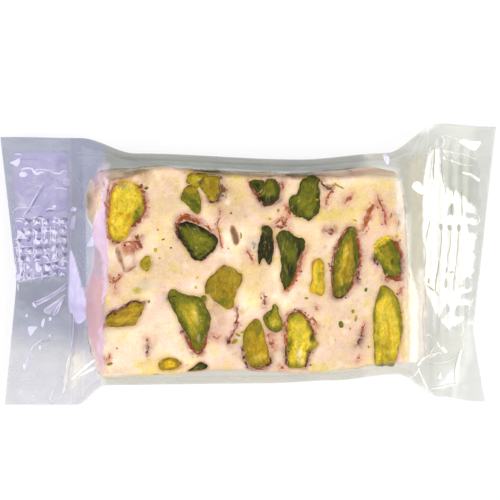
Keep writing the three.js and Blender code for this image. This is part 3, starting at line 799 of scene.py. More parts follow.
# Strips of kernel skin in the shown face: tone, width, path.
SKINS = [
    ("plum", 0.8, [(-31.2, 19.8), (-32.4, 17.5), (-33.1, 14), (-33.5, 11.2), (-32.9, 8.6), (-31.9, 7.1)]),
    ("brick", 0.4, [(-31.9, 7.2), (-31, 6.6), (-30, 6.8)]),
    ("brick", 0.5, [(-25.5, 19.6), (-24.9, 17.6), (-24.6, 15.4)]),
    ("brick", 0.8, [(-24.7, 17.2), (-24.4, 14.8), (-25, 12.8), (-26.2, 11.2), (-27.5, 10.1)]),
    ("rust", 0.45, [(-34, 20.2), (-33.6, 18.2), (-34, 16.4), (-33.4, 13)]),
    ("brick", 0.55, [(-26.9, 7.9), (-26, 7.6), (-25.4, 8.1)]),
    ("brick", 0.7, [(-26.4, 7.2), (-25.9, 6.2), (-25.2, 5.6)]),
    ("plum", 0.5, [(-29.4, 6.5), (-28.2, 6.8), (-27, 6.5), (-26.5, 5.2)]),
    ("brick", 0.8, [(-17.6, 10.6), (-17, 11.8), (-15.6, 12.2), (-14, 11.8), (-12.4, 11.1)]),
    ("rust", 0.3, [(-12.4, 11.1), (-10.9, 10.2), (-9.8, 9.2)]),
    ("rust", 0.5, [(-16.8, 12.5), (-15.6, 12.9), (-14.2, 12.4), (-12.6, 11.6)]),
    ("brick", 0.45, [(-1.6, 20.3), (-1.3, 18.9), (-0.5, 17.6), (0.3, 16.8)]),
    ("wine", 0.3, [(-17.7, 10.8), (-17.8, 9.2), (-17.2, 7.6)]),
    ("rust", 0.3, [(-8.2, 12.2), (-8.7, 10.4), (-8.3, 8.7), (-8, 7), (-7.5, 5.2)]),
    ("rust", 0.5, [(-8.2, 13.8), (-8.2, 12.8)]), ("brick", 0.4, [(-8, 18.9), (-7.2, 18.5), (-6.4, 18.3)]),
    ("bark", 0.9, [(-7.9, 21.6), (-7.7, 19.8), (-7.4, 18.2), (-7.7, 17)]),
    ("wine", 0.45, [(-8.4, 16.2), (-9.4, 15.7), (-10.4, 15.8)]),
    ("brick", 0.9, [(5.2, 18.6), (5.7, 19.3), (5.8, 20)]),
    ("wine", 0.4, [(0.2, 16.6), (1.4, 15.2), (2.6, 15), (4, 15.6), (5, 16.2)]),
    ("rust", 0.35, [(4, 10.9), (4.8, 11.4), (5.3, 12.1), (5.9, 11), (6.3, 10.3)]),
    ("brick", 0.4, [(4.2, 10.3), (5.3, 10.1), (6.3, 10.2)]),
    ("rust", 0.3, [(6.2, 10.4), (6.3, 11.4), (6.7, 12.1)]),
    ("rust", 0.45, [(6.2, 14.7), (6.8, 13.8), (7.3, 12.7)]),
    ("wine", 0.3, [(14.5, 20.4), (14.9, 19.4), (15.7, 18.9)]),
    ("bark", 0.35, [(15, 18.8), (15.8, 18.6), (16.6, 18.9)]),
    ("rust", 0.5, [(16.6, 18.2), (15.8, 17), (15.3, 15.8), (15.1, 14.8)]),
    ("rust", 0.65, [(21, 17), (20.2, 16.2), (19.3, 15.4)]),
    ("rust", 1.25, [(25.7, 14.9), (24.9, 13.6), (24.4, 12), (23.8, 10.6), (23.3, 9.1)]),
    ("rust", 0.35, [(26.6, 16.9), (27.3, 15.2), (28.1, 13.6)]),
    ("plum", 0.6, [(28, 13.9), (28.4, 12.2), (28.4, 10.4)]), ("rust", 0.35, [(29.7, 13.3), (29.6, 12.2)]),
    ("brick", 0.55, [(31.6, 12.9), (32.2, 13.3)]), ("rust", 0.3, [(31.1, 11.2), (31.4, 10.4)]),
    ("brick", 1.2, [(15.2, 9.2), (16, 9), (16.8, 9.5)]),
    ("rust", 0.6, [(10.6, 5.6), (10, 3.6), (9.4, 1.8), (8.8, 0.2), (8.3, -1.5), (7.2, -3), (6.2, -4)]),
    ("rust", 0.5, [(9.4, 1.9), (9.3, 0.6), (8.6, -0.5)]),
    ("brick", 0.6, [(22, 9.2), (22.2, 6.8), (22.8, 4.2), (22.6, 2.2), (21.8, -0.6), (20.9, -3),
      (19.8, -4.6)]),
    ("brick", 0.4, [(20.4, 10.2), (19.2, 8.8), (17.9, 6.4), (17.1, 4.2), (16.7, 1.4), (16.6, -1.8),
      (16.9, -5.2)]),
    ("wine", 0.35, [(17, -5.3), (18.2, -5.5), (19.6, -4.8)]),
    ("brick", 1.2, [(30.3, 7), (31.4, 5), (32.2, 2.6), (32.5, 0.4), (32, -0.9), (30.6, -1.3),
      (28.4, -1.2)]),
    ("wine", 0.7, [(25.8, 3.2), (26.2, 2.3), (26.8, 1.9)]),
    ("rust", 0.5, [(-32.6, -0.8), (-31.8, -1.5), (-31.3, -2.3), (-31.2, -3.9)]),
    ("rust", 0.45, [(-29.9, -0.5), (-30.6, -1.3), (-31.3, -2.1)]),
    ("wine", 0.45, [(-33.6, -10.2), (-32.4, -8.9), (-30.2, -7.9), (-28.2, -6.7), (-26.5, -6.3),
      (-25, -6.6)]),
    ("plum", 0.8, [(-34.6, -11.5), (-33.9, -11.6), (-33.4, -11)]),
    ("rust", 0.6, [(-24.3, -14.5), (-24, -15)]),
    ("wine", 0.55, [(-23.9, -16.1), (-24.1, -17), (-24.2, -17.9)]),
    ("plum", 0.55, [(-33.6, -18.6), (-33.6, -19.2)]), ("rust", 0.3, [(-32.6, -18), (-32.5, -19)]),
    ("brick", 1, [(-16.2, -12.6), (-15.2, -14.6), (-14.2, -16.6), (-13.1, -17.7), (-12.2, -17),
      (-11.5, -15.4), (-10.9, -13.6)]),
    ("brick", 0.6, [(-4.4, -7.8), (-4.3, -9.6), (-4.7, -11.8), (-5.4, -13.4), (-6.2, -14.8)]),
    ("wine", 0.9, [(-6.4, -14.8), (-5.9, -15.4)]),
    ("plum", 0.3, [(-9.5, -13.7), (-8.8, -14.5), (-8.1, -13.9)]),
    ("wine", 0.5, [(-3.3, -16.6), (-2.9, -18.5), (-2.1, -20.4), (-0.8, -21)]),
    ("brick", 0.5, [(-0.8, -21), (0.8, -21.1), (2, -20.8)]),
    ("wine", 0.45, [(2.2, -20.6), (3, -19.6), (2.9, -18.6)]),
    ("brick", 0.45, [(1.3, -4.9), (1.8, -5.8), (1.6, -7.2)]),
    ("rust", 1.3, [(2.5, -13.4), (3.2, -14.8), (3.6, -16.6)]),
    ("rust", 0.6, [(6.9, -9.6), (6.3, -11.2), (6.2, -14), (6.3, -16.4)]),
    ("wine", 0.5, [(6.3, -16.2), (6.3, -18.4), (6.6, -20.4)]),
    ("brick", 0.5, [(7, -9.4), (8.8, -8.4), (10.4, -9.2), (11.7, -11.6), (12.6, -13.6)]),
    ("wine", 0.6, [(11.9, -17.4), (11.2, -18.8), (10.8, -20.8)]),
    ("rust", 0.8, [(5.3, -20.7), (6.2, -20.9)]),
    ("rust", 0.5, [(12.1, -9.8), (12.7, -10.8), (13.3, -11.7)]),
    ("wine", 0.5, [(22.4, 0.4), (22.4, -0.8), (22.3, -1.9)]),
    ("rust", 0.4, [(23.9, -11.4), (23.4, -12.6), (23.2, -13.8)]),
    ("wine", 0.8, [(23.3, -13.6), (22.9, -14.8), (22.3, -16)]),
    ("plum", 0.6, [(22.6, -18.6), (22.3, -19.2)]), ("rust", 0.35, [(13, -7.3), (13.3, -8)]),
    ("rust", 0.5, [(-2.2, 4.9), (-1.6, 3.8), (-1, 2.7)]), ("mist", 0.6, [(-0.9, 6.9), (-0.2, 5.8)]),
    ("plum", 0.7, [(31.8, -3.2), (31.7, -4.8)]), ("wine", 0.3, [(-31.4, -9.1), (-30.9, -8.9)]),
    ("pine", 0.22, [(-19.5, -5.6), (-18.6, -5.2), (-17.4, -5)]),
]

# Crumbs of kernel in the shown face: tone, x, y, length, width, turn.
CRUMBS = [
    ("leaf", -24.3, 18.7, 1.1, 0.8, 30), ("wine", -25.3, 19.4, 0.6, 0.5, 0),
    ("pine", -19, 5.6, 0.55, 0.5, 0), ("rust", -20.7, 7.4, 0.9, 0.4, 20), ("rust", -21.8, 9.5, 0.5, 0.4, 0),
    ("lemon", -22.4, 5.1, 0.9, 0.9, 0), ("lemon", -21.4, 3.3, 0.6, 0.5, 0),
    ("lemon", -18.5, 7.7, 0.5, 0.4, 0), ("lemon", -13.2, -1, 1, 0.6, 30),
    ("lemon", -13.4, -3.1, 0.8, 0.9, 0), ("brick", -5.7, 13.2, 0.5, 0.5, 0),
    ("brick", -6.3, 5.4, 0.35, 0.3, 0), ("lime", -3.5, 8.3, 0.5, 1.7, 5),
    ("lemon", -4.7, 16.3, 0.7, 0.6, 30), ("lime", 2.8, 11.9, 0.7, 0.4, -30),
    ("rust", 1.5, 5.3, 0.5, 0.3, 0), ("lime", 18.2, 19.2, 2.6, 0.5, -35), ("lime", 17.1, 19.3, 0.8, 0.5, 0),
    ("lime", 21.6, 11.5, 1.1, 0.35, -20), ("gold", 27.2, 7.1, 2.8, 1, 35),
    ("gold", 28.9, 7.8, 1.8, 0.9, -5), ("gold", 26, 6, 1.3, 0.9, 50), ("leaf", 24.1, -3.8, 0.75, 1.2, -15),
    ("lime", 10.9, -5.6, 0.9, 0.5, -10), ("leaf", 18.6, -11.5, 1.2, 1.9, 10),
    ("lime", 21.2, -8.6, 0.8, 0.9, 0), ("lime", 21.9, -10.2, 0.6, 1.6, -10),
    ("lime", 24.7, -16.5, 0.5, 0.7, 0), ("olive", -4.9, -15.1, 1.7, 0.9, 35),
    ("olive", -4.2, -13.6, 1.3, 0.8, -30), ("lime", -3.2, -13.1, 1.1, 0.6, 15),
    ("rust", -30.9, -16.6, 0.5, 0.4, 0), ("olive", -32.2, -20, 1.4, 0.7, 10),
    ("rust", 17.3, -14.9, 0.3, 0.25, 0), ("rust", 20.6, -12.4, 0.5, 0.35, -40),
    ("olive", -23.8, -6.3, 0.6, 0.8, 0), ("lemon", 24.4, -20.5, 0.9, 0.4, 0),
    ("bark", -22, -22.5, 2, 0.3, 0), ("lime", 0.9, -5.5, 0.5, 0.7, 0), ("amber", 30.9, 8.1, 0.8, 0.6, 0),
    ("rust", 31.2, 12.9, 0.35, 0.3, 0), ("olive", 4.7, 13.8, 0.6, 0.8, 0),
    ("lime", 13.2, 16.1, 0.8, 0.5, 0),
]

STRIP_STEPS = 40
STRIP_SPREAD = 0.1  # by which a strip is wider than listed, as its edges fray
FLAKES_PER_MM = 1.3  # of skin, strewn along a strip
STRIP_RING = [
    (-1.0, 0.05), (-0.55, -0.06), (0.0, -0.1), (0.55, -0.06), (1.0, 0.05), (0.6, 0.25), (-0.6, 0.25),
]


def strip(parts, path, width, tone, face, seed):
    """Adds a shred of skin: a low arched section carried along the path, its width swelling from
    its tips as the root of a sine and made ragged by noise."""
    line, side = ribbon(path, STRIP_STEPS)
    t = np.linspace(0.02, 0.98, STRIP_STEPS)
    across, depth = np.array(STRIP_RING).T
    width = width + STRIP_SPREAD
    ragged = 1 + 0.75 * noise(flat_points(line[:, :1], line[:, 1:], 3 * np.sign(across)), 0.6, 31)
    half = 0.5 * width * np.sqrt(np.sin(np.pi * t))[:, None] * ragged
    plan = line[:, None, :] + (half * across)[..., None] * side[:, None, :]
    plan = plan + 0.12 * noise(flat_points(plan[..., 0], plan[..., 1], seed), 0.8, 32)[..., None]
    points = bar_point(face_cube(face, plan[..., 0], plan[..., 1], depth[None, :] + 0 * half))
    colour = mottled(TONES[tone], flat_points(plan[..., 0], plan[..., 1], seed))
    parts.rings(points, flip=not face_turned(face), skin_colour=colour)
    if face == "top":
        rng = np.random.default_rng(seed + 200)
        length = np.linalg.norm(np.diff(line, axis=0), axis=1).sum()
        for _ in range(int(1.0 + FLAKES_PER_MM * length)):
            k = rng.integers(STRIP_STEPS)
            x, y = line[k] + side[k] * rng.normal(0, 0.35 * width + 0.12)
            size = rng.uniform(0.22, 0.62)
            oval = (size, size * rng.uniform(0.5, 1), rng.uniform(0, 180))
            flake = lens(x, y, *oval, face, rng.integers(99), FLAKE_AROUND)
            shade = TONES[(tone, "wine", "rust", "brick")[rng.integers(4)]]
            parts.rings(flake, flip=face_turned(face), skin_colour=mottled(shade, flake))


def mottled(tone, place):
    """A skin's colour: its tone, with patches that are darker and patches that are pale."""
    dark = smooth(1.7 * noise(place, 0.5, 33) + 0.2)
    pale = smooth(1.7 * noise(place, 0.6, 34) - 0.1)
    return mix(mix(tone, TONES["wine"], 0.45 * dark[..., None]), TONES["rose"], 0.5 * pale[..., None])


FLAKE_AROUND, CRUMB_AROUND = 8, 14  # points round a flake of skin and round a crumb
LENS_ROWS = [(0.15, -0.09), (0.55, -0.08), (0.85, -0.03), (1.0, 0.06), (0.6, 0.25)]  # as FACE_ROWS


def lens(x, y, length, width, turn, face, seed, around):
    """The rings of points of an oval lens with a ragged outline."""
    angle = np.linspace(0, 2 * np.pi, around, endpoint=False)
    c, s = np.cos(angle), np.sin(angle)
    ragged = 1 + 0.22 * noise(flat_points(2 * c, 2 * s, seed * 5.3), 1.1, 41)
    oval = np.stack(turned(0.5 * length * c, 0.5 * width * s, turn), axis=-1) * ragged[:, None]
    share, depth = np.array(LENS_ROWS).T[..., None]
    plan = np.array([x, y]) + share[..., None] * oval
    return bar_point(face_cube(face, plan[..., 0], plan[..., 1], depth + 0 * angle))


def crumb(parts, x, y, length, width, turn, tone, face, seed):
    """Adds a crumb of kernel."""
    points = lens(x, y, length, width, turn, face, seed, CRUMB_AROUND)
    shade = 1 + 0.35 * noise(points, 0.5, 42)
    parts.rings(points, flip=face_turned(face), kernel_colour=TONES[tone] * shade[..., None], grain=points)


# ---------------------------------------------------------------- the bar with its inclusions

GROOVE_DEPTH, GROOVE_WIDTH = 0.2, 0.4  # where the nougat rolls down to a kernel
POCKET_DEPTH = 0.6  # of the nougat's surface under a kernel's cut face
YELLOW_STRENGTH, YELLOW_WIDTH = 0.5, 0.9  # of the tint round a kernel
# The brown ring close round each kernel is partly a stain and partly painted shade where the nougat meets
# the kernel.
BROWN_STAIN_SHADE_STRENGTH, BROWN_STAIN_SHADE_WIDTH = 0.85, 0.5  # of the one close to it
HALO_WIDTH, RAGGED_WIDTH = 1.2, 0.5  # of the stains that a skin leaves in the nougat
HALO_CUT = 0.07  # taken off a wide stain's bell, so that it ends


def stain_by_inclusions(colour, x, y):
    """Tints the nougat round each kernel, with a brown ring close to it that is partly painted shade,
    and round each skin with that skin's colour, fading as a bell, and returns with it how deep the
    surface sinks at the kernels: a pocket under each one and a groove round it."""
    sunk = np.zeros(np.shape(x))
    patchy = smooth(noise(flat_points(x, y), 1.5, 51) + 0.6)
    for _, _, _, outline in KERNELS:
        edge = closed_curve(outline, 90)
        away = distance_to_curve(x, y, edge, 2.0)
        yellow = YELLOW_STRENGTH * bell(away, YELLOW_WIDTH) * patchy
        colour = mix(colour, TONES["lemon"], yellow[..., None])
        stain_shade = BROWN_STAIN_SHADE_STRENGTH * bell(away, BROWN_STAIN_SHADE_WIDTH) * (1 - 0.6 * patchy)
        colour = mix(colour, TONES["plum"], stain_shade[..., None])
        sunk = np.maximum(sunk, GROOVE_DEPTH * bell(away, GROOVE_WIDTH))
        low, high = edge.min(0), edge.max(0)
        box = (x > low[0]) & (x < high[0]) & (y > low[1]) & (y < high[1])
        inside = outline_distance(x[box], y[box], edge)
        sunk[box] = np.maximum(sunk[box], POCKET_DEPTH * smooth((inside - 0.1) / 0.5))
    broken = smooth(noise(flat_points(x, y), 0.55, 52) + 0.7)
    for tone, width, path in SKINS:
        away = distance_to_curve(x, y, open_curve(path, 40), 3.0) - width / 2
        wide = 0.62 * np.maximum(0, bell(np.maximum(0, away), HALO_WIDTH) - HALO_CUT) * mix(0.35, 1, patchy)
        close = 0.85 * bell(np.maximum(0, away), RAGGED_WIDTH) * broken
        colour = mix(colour, mix(TONES[tone], TONES["rose"], 0.5), wide[..., None])
        colour = mix(colour, mix(TONES[tone], TONES["rose"], 0.2), close[..., None])
    return colour, sunk


LATTICE = (240, 160, 20)  # cells of the bar's surface along each axis
CROWDING = 0.35  # how much the lattice crowds towards the bar's edges


def nougat_bar(material):
    """The bar: a cube's lattice moved to the bar's form, with a soft relief, its hollows, and a
    groove round each kernel."""
    lattice, faces = box_lattice(LATTICE)
    points = bar_point(mix(lattice, np.sin(lattice * np.pi / 2), CROWDING))
    top = smooth((lattice[:, 2] - 0.97) / 0.03)
    side = (np.abs(lattice[:, :2]).max(1) > 0.99) & (np.abs(lattice[:, 2]) < 0.9)
    x, y, _ = points.T
    rough = noises(points, (0.16, 3.5, 13), (0.08, 1.4, 14))
    relief = noises(points, (0.05, 2.6, 11), (0.03, 1.1, 12))
    colour = bar_colour(points)
    stained_colour, sunk = stain_by_inclusions(colour, x, y)
    stained_colour, hollow = hollowed(stained_colour, x, y)
    colour = mix(colour, stained_colour, top[:, None])
    points = points + unit(points * (1, 1, 0)) * (rough * side)[:, None]
    points[:, 2] += top * (relief - hollow - sunk)
    return piece("nougat", points, faces, material, "nougat", tint_colour=colour)


# ---------------------------------------------------------------- the film

FILM_GAP = 0.2  # between the bar and the film
WIDEST_HEIGHT = 5.4  # of the line along which the tube is widest
# Y of the film's sides along X: of its flat part over the bar, and of the whole pack.
FILM_FAR = [(-36, 21.4), (-22, 22.8), (8, 21.2), (28, 22.8), (36, 21.4)]
FILM_NEAR = [(-36, -23.0), (-20, -22.8), (-4, -21.5), (12, -22.1), (28, -20.3), (36, -20.4)]
PACK_FAR = [(-52.9, 29.8), (-38.6, 29.6), (-26.4, 26.2), (10, 24.8), (29, 26.2), (40.9, 32.7), (49, 32)]
PACK_NEAR = [
    (-52.9, -29.6), (-39.6, -29.5), (-33, -25.1), (2, -24.9), (17, -24.3), (31.6, -23), (41, -28.1),
    (49, -29.4),
]
SEAL_SIDE_ROUND = 0.5  # by which a seal's flat part is narrower than the pack, at each side

# Pairs hold the start's value and the end's. Each seal runs from its X to its cut edge, and the
# sheets reach the bar's height at the shoulder and its foot.
SEAL_X, SEAL_EDGE = (-41.2, 38.9), (-52.9, 49.0)
SHOULDER_X, FOOT_X = (-34.0, 33.4), (-37.6, 35.6)
# The cut edge is a V: the Y of its tip, its slopes on the far and the near side, and its rounding.
KINK_Y, BOW_FAR, BOW_NEAR = (-2.2, -12.6), (0.112, 0.115), (0.1, 0.172)
KINK_SOFTNESS = 1.5
SEAL_HEIGHT, SEAL_DROOP, SEAL_WAVE, SEAL_WAVE_LENGTH = 4.8, 1.6, 0.7, 43
SEAL_GAP = 0.16  # between the two sheets of a seal
SEAM_NEAR, SEAM_FAR, SEAM_STEP, SEAM_DEPTH = -3.0, 12.4, 0.15, 0.3  # the back seam, folded flat

# Crimps: their pitch and number, how much of the V they follow, the plain film beside them, and
# over how much they die away.
CRIMP_PITCH, CRIMPS, CRIMP_BOW = 2.1, (5, 4), 0.35
CRIMP_MARGIN, CRIMP_FADE = 2.8, 2
# Depths of the crimps: the least, the start's in the seam, and how much deeper the end's get.
CRIMP_LEAST, CRIMP_IN_SEAM, CRIMP_AT_END = 0.02, 0.14, 0.13
LENGTHWISE_PITCH = 2.2  # of the crimps along the pack, in the seam's thick stretch
WAVE_SHARPNESS = 0.96

FLAT_SHARE = 0.8  # share of a sheet's columns that its flat part takes
FLAT_COLUMNS, BULGE_COLUMNS = 187, 10
# How a point of the upper sheet is looked for: rounds, mm of a half sheet, and the pace along X and Y.
OVER_ROUNDS, OVER_SPAN, OVER_PACE_X, OVER_PACE_Y = 22, 35, 0.45, 1 / 40

# Tones of the film's patches and marks. The white tone and milk are painted highlights; ice, lilac, veil and
# lavender are painted reflections of the soft boxes; shade is painted shade; slate, smoke and steel are the
# film's haze with painted shadow; mauve, blush and orchid are painted light and shade on the bar's left
# wall; pearl, dove and flax are mostly the film's haze.
FILM_TONES = {
    "slate": ink(132, 140, 168),
    "smoke": ink(117, 124, 115),
    "lavender": ink(166, 159, 203),
    "lilac": ink(220, 213, 243),
    "pearl": ink(198, 196, 204),
    "dove": ink(168, 170, 152),
    "flax": ink(184, 180, 156),
    "highlight_white": ink(255, 254, 247),
    "milk": ink(250, 246, 226),
    "ice": ink(238, 233, 254),
    "veil": ink(206, 198, 234),
    "steel": ink(118, 124, 150),
    "shade": ink(202, 200, 182),
    "mauve": ink(182, 166, 194),
    "blush": ink(216, 174, 194),
    "orchid": ink(226, 198, 224),
}

# Where the film is clouded, laid over each other in turn: tone, strength, softness in mm, outline.
# The patches are partly the film's haze and partly painted light: painted shadow of the bar on the
# table, painted reflections of the soft boxes and painted highlights.
# Softer outlines than ROUNDED_BELOW are made ragged and the others are rounded, and a patch less
# soft than UPPER_BELOW is in the upper sheet alone.
ROUNDED_BELOW, UPPER_BELOW = 0.35, 0.8
ROUNDED_STEPS = 60
HAZE_AND_PAINTED_LIGHT = [
    ("slate", 0.45, 1.6, [(-57, 31), (-31, 31), (-32.5, 22), (-35.4, 19), (-35.6, 0), (-36.6, -14),
      (-34, -26), (-57, -31)]),
    ("slate", 0.5, 2.5, [(-39.6, 24), (-35, 23), (-34, 16), (-33, 5), (-34.4, -4), (-37.6, -12), (-40, -14),
      (-39.8, 5)]),
    ("slate", 0.48, 3, [(-41, 29), (-33.6, 28), (-33.4, 23.4), (-36, 22), (-41, 24)]),
    ("steel", 0.52, 3.5, [(-53.4, -2), (-41.4, -1), (-40.6, -7), (-43.5, -10), (-48, -10.4),
      (-52.8, -6.8)]),
    ("lavender", 0.55, 1.4, [(-53.6, 26.3), (-41.4, 26.5), (-41.2, 8), (-41.7, 3), (-41.4, -0.3), (-47, -1),
      (-52.4, -2.3), (-53.2, 8)]),
    ("pearl", 0.33, 9, [(-60, -14), (-32, -17), (-32, -36), (-60, -36)]),
    ("lilac", 0.8, 0.3, [(-41.4, -0.2), (-41, 4.8), (-40.2, 3.5), (-39.6, 1.5), (-38.9, -1), (-38, -4),
      (-37.3, -7.5), (-37.4, -9.5), (-38.5, -11.2), (-39.7, -11.2), (-40.4, -9.5), (-41.2, -8.6),
      (-41.5, -5)]),
    ("veil", 0.8, 0.8, [(-41.1, -7), (-37.6, -7.4), (-37.7, -9.3), (-38.6, -10.8), (-39.6, -10.8),
      (-40.3, -9.3), (-41, -8.3)]),
    ("smoke", 0.41, 2.5, [(-33, 18), (28, 18), (24, 28), (10, 27), (-26, 28), (-33, 29)]),
    ("smoke", 0.5, 1.2, [(-33, 18), (28, 18), (22, 23.4), (10, 23.4), (-12, 23.6), (-26, 25), (-33, 26)]),
    ("dove", 0.33, 3.5, [(22, 16), (38, 16), (38, 30), (26, 30)]),
    ("dove", 0.33, 1.5, [(-35, -18), (26, -18), (26, -23.5), (17, -27), (-33, -27)]),
    ("dove", 0.24, 1.5, [(24, -18), (32, -18), (34, -23.5), (24, -27)]),
    ("dove", 0.26, 2, [(33.2, 28), (41, 33.5), (55, 33), (55, -10), (47, -12), (44, -31), (41, -29),
      (33, -23)]),
    ("dove", 0.17, 2, [(55, -10), (47, -12), (44, -31), (55, -31)]),
    ("flax", 0.52, 3, [(32.4, 25), (37.6, 26), (37.4, 0), (36.6, -4), (35, -2), (33, 2)]),
    ("milk", 0.16, 3, [(-40.6, -18.6), (-38.4, -17.8), (-37.2, -22), (-40.4, -25)]),
    ("milk", 0.12, 1.5, [(36.6, 0), (37.8, 0), (37.8, -18), (36.8, -20), (36.4, -8)]),
    ("dove", 0.31, 2, [(37.8, -11), (47, -12.5), (46.6, -21), (39, -21)]),
    ("pearl", 0.1, 1.4, [(40.6, -25.9), (45.3, -25.4), (45.5, -21.6), (43.4, -22.8)]),
    ("dove", 0.52, 0.6, [(41.9, 25.4), (49.8, 24.5), (50.3, 20), (50, 13), (42.5, 15), (42, 20)]),
    ("highlight_white", 0.8, 0.5, [(37.4, 19.7), (38.9, 26.9), (41.3, 27.2), (41.7, 22), (42.2, 20), (43, 18.3),
      (45, 17.5), (47, 16.3), (49.2, 14.2), (50, 12.5), (49.9, 9), (49.3, 5), (48.6, 0), (48.3, -6),
      (47.8, -9), (46.5, -11.5), (45.4, -12.3), (44.2, -12.3), (43.6, -13.4), (42.8, -12.6), (41.4, -10.9),
      (40.8, -10.6), (39.4, -8.6), (38.2, -5), (37.6, 0), (37.3, 8)]),
    ("dove", 0.24, 0.4, [(46.4, -1.9), (48.5, -1.8), (48.6, -3.9), (46, -4), (45.4, -3)]),
    ("dove", 0.24, 0.4, [(46, -5.2), (48.3, -5), (48.4, -6.3), (45.8, -6.2)]),
    ("dove", 0.26, 0.4, [(44.4, -9.5), (45.6, -7.6), (47.8, -7.8), (47.2, -10.3), (44.6, -10.3)]),
    ("dove", 0.24, 0.4, [(41.4, -11), (42, -8.4), (42.8, -7.6), (43.4, -8.6), (42.6, -10.8)]),
    ("dove", 0.26, 0.4, [(47.2, 13), (49.7, 12.8), (49.6, 11.6), (47.1, 11.8)]),
    ("dove", 0.26, 0.4, [(43.6, 14.9), (44.5, 14.8), (44.7, 12.6), (42.8, 12), (42.8, 13.2)]),
    ("dove", 0.24, 0.5, [(47.6, 10.1), (50, 10.1), (49.6, 8.2), (48.1, 8.4)]),
]

# Painted glare and painted shade in the film, over the bar as well: tone, strength, softness in mm,
# outline.
GLARE = [
    ("mauve", 0.5, 0.9, [(-34.4, 15.5), (-33.6, 14), (-33.5, -8), (-33.9, -18), (-34.4, -23), (-35.4, -19),
      (-37.2, -13), (-37.6, -8), (-37.4, -3), (-36.2, 2), (-35.9, 8), (-35.4, 12)]),
    ("blush", 0.5, 2, [(-37.4, -1), (-34, -1), (-33.8, -8), (-33.9, -21), (-35.4, -20), (-37.6, -8)]),
    ("slate", 0.62, 0.9, [(-36.9, 23), (-34.4, 23.6), (-34.4, 20.2), (-35.9, 18.4)]),
    ("slate", 0.5, 0.8, [(-38, 8), (-36.6, 8), (-36.4, 2), (-37.4, -3), (-38.4, -3)]),
    ("orchid", 0.3, 1.2, [(-35.4, 20), (-34.8, 22), (-34, 23.8), (-32.8, 24), (-32.6, 21.6), (-33.4, 20)]),
    ("orchid", 0.75, 0.6, [(-33.6, 21.3), (-32.5, 20.2), (-33, 17.4), (-33.6, 14.6), (-33.4, 10),
      (-32.8, 6.6), (-32.7, 3.2), (-32.9, -2.6), (-33.6, -6.5), (-34.2, -6.5), (-34.1, 3.2), (-35.6, 6.4),
      (-36.2, 8.5), (-35.9, 12), (-34.6, 14.2), (-33.9, 18)]),
    ("orchid", 0.6, 0.5, [(-33.9, -10.4), (-33.5, -14), (-33.8, -18), (-33.9, -22.4), (-34.6, -20),
      (-35.2, -16.6), (-34.8, -12.4)]),
    ("milk", 0.62, 1.2, [(33.7, 1), (34.6, -0.5), (35.9, -5), (36.2, -19), (35.6, -19.8), (33.9, -19.6),
      (33.8, -8)]),
    ("milk", 0.6, 1.2, [(30.4, 20.8), (31.8, 20.4), (32.7, 15), (32.6, 9), (31.5, 9), (30.8, 15)]),
    ("milk", 0.28, 0.8, [(31.6, 9), (32.4, 9), (33.3, 2), (33.5, -6), (33.5, -19.6), (32.7, -19.6),
      (32.5, -6), (32.2, 2)]),
]


def at_end(x, pair):
    """The start's value or the end's, by which half of the pack x is in."""
    return np.where(x < 0, *pair)


LEAN = (0.058, -0.045)  # of the line of sight, for each mm of height, as the pack is mostly seen
FOOT_LEVEL = 4.7  # height at which the bar's walls stand out most
WALL_RISE = 0.35  # and its share of the bar's height
# Clouded and painted patches of the film end at the walls: their share that is gone there, and mm
# over which they fade.
WALL_SHARE, WALL_SOFTNESS = 0.4, 0.8
FILM_STEPS = [(-52.9, -40.4, 58), (-40.4, -32.0, 28), (-32.0, 30.0, 60), (30.0, 38.0, 24), (38.0, 49.0, 52)]


def film_rows():
    """Places along X: close together in the seals, wider over the bar."""
    runs = [np.linspace(start, end, count, endpoint=False) for start, end, count in FILM_STEPS]
    return np.append(np.concatenate(runs), SEAL_EDGE[1])[:, None]


def film_columns():
    """Columns across a sheet, from -1 at its near edge to 1 at its far edge."""
    flat = np.linspace(-FLAT_SHARE, FLAT_SHARE, FLAT_COLUMNS)
    bulge = np.linspace(FLAT_SHARE, 1, BULGE_COLUMNS + 1)[1:]
    return np.concatenate([-bulge[::-1], flat, bulge])[None, :]


def wave(t):
    """A sharp wave of period 1 from -1 to 1: an arc sine of a sine, its corners a little rounded."""
    return np.arcsin(WAVE_SHARPNESS * np.sin(2 * np.pi * t)) / np.arcsin(WAVE_SHARPNESS)


def crimps(x, y, reach):
    """Height of the crimps: ridges across the pack, and in the seam's thick stretch ones along it."""
    passed = np.abs(x - at_end(x, SEAL_X)) / CRIMP_PITCH
    window = smooth(passed / 0.5) * smooth((at_end(x, CRIMPS) + 0.4 - passed) / 0.6) * (reach > 0)
    far, near = along(PACK_FAR, x), along(PACK_NEAR, x)
    inside = smooth((far - CRIMP_MARGIN - y) / CRIMP_FADE) * smooth((y - near - CRIMP_MARGIN) / CRIMP_FADE)
    seam = smooth((y - SEAM_NEAR) / 1.0) * smooth((SEAM_FAR - y) / 1.0)
    start_depth = mix(CRIMP_LEAST, CRIMP_IN_SEAM, seam)
    end_depth = CRIMP_AT_END * smooth((y + 15) / 5) + CRIMP_LEAST
    across = wave(passed) * at_end(x, (start_depth, end_depth))
    lengthwise = wave(y / LENGTHWISE_PITCH) * at_end(x, (0.12 * seam, 0.05 * bell(y - 11, 2)))
    return (across + lengthwise) * window * inside


def crumple(x, y):
    """Small dents and sharp little folds: soft noise, and noise folded over at nought."""
    place = flat_points(x, y)
    return noises(place, (0.10, 5.0, 61), (0.05, 2.1, 62)) - 0.10 * np.abs(noise(place, 3.4, 63))


def film_side(x, c):
    """Y where the film's flat part over the bar ends at x, on the side that column c is on."""
    return np.where(c > 0, along(FILM_FAR, x) + FILM_GAP, along(FILM_NEAR, x) - FILM_GAP)


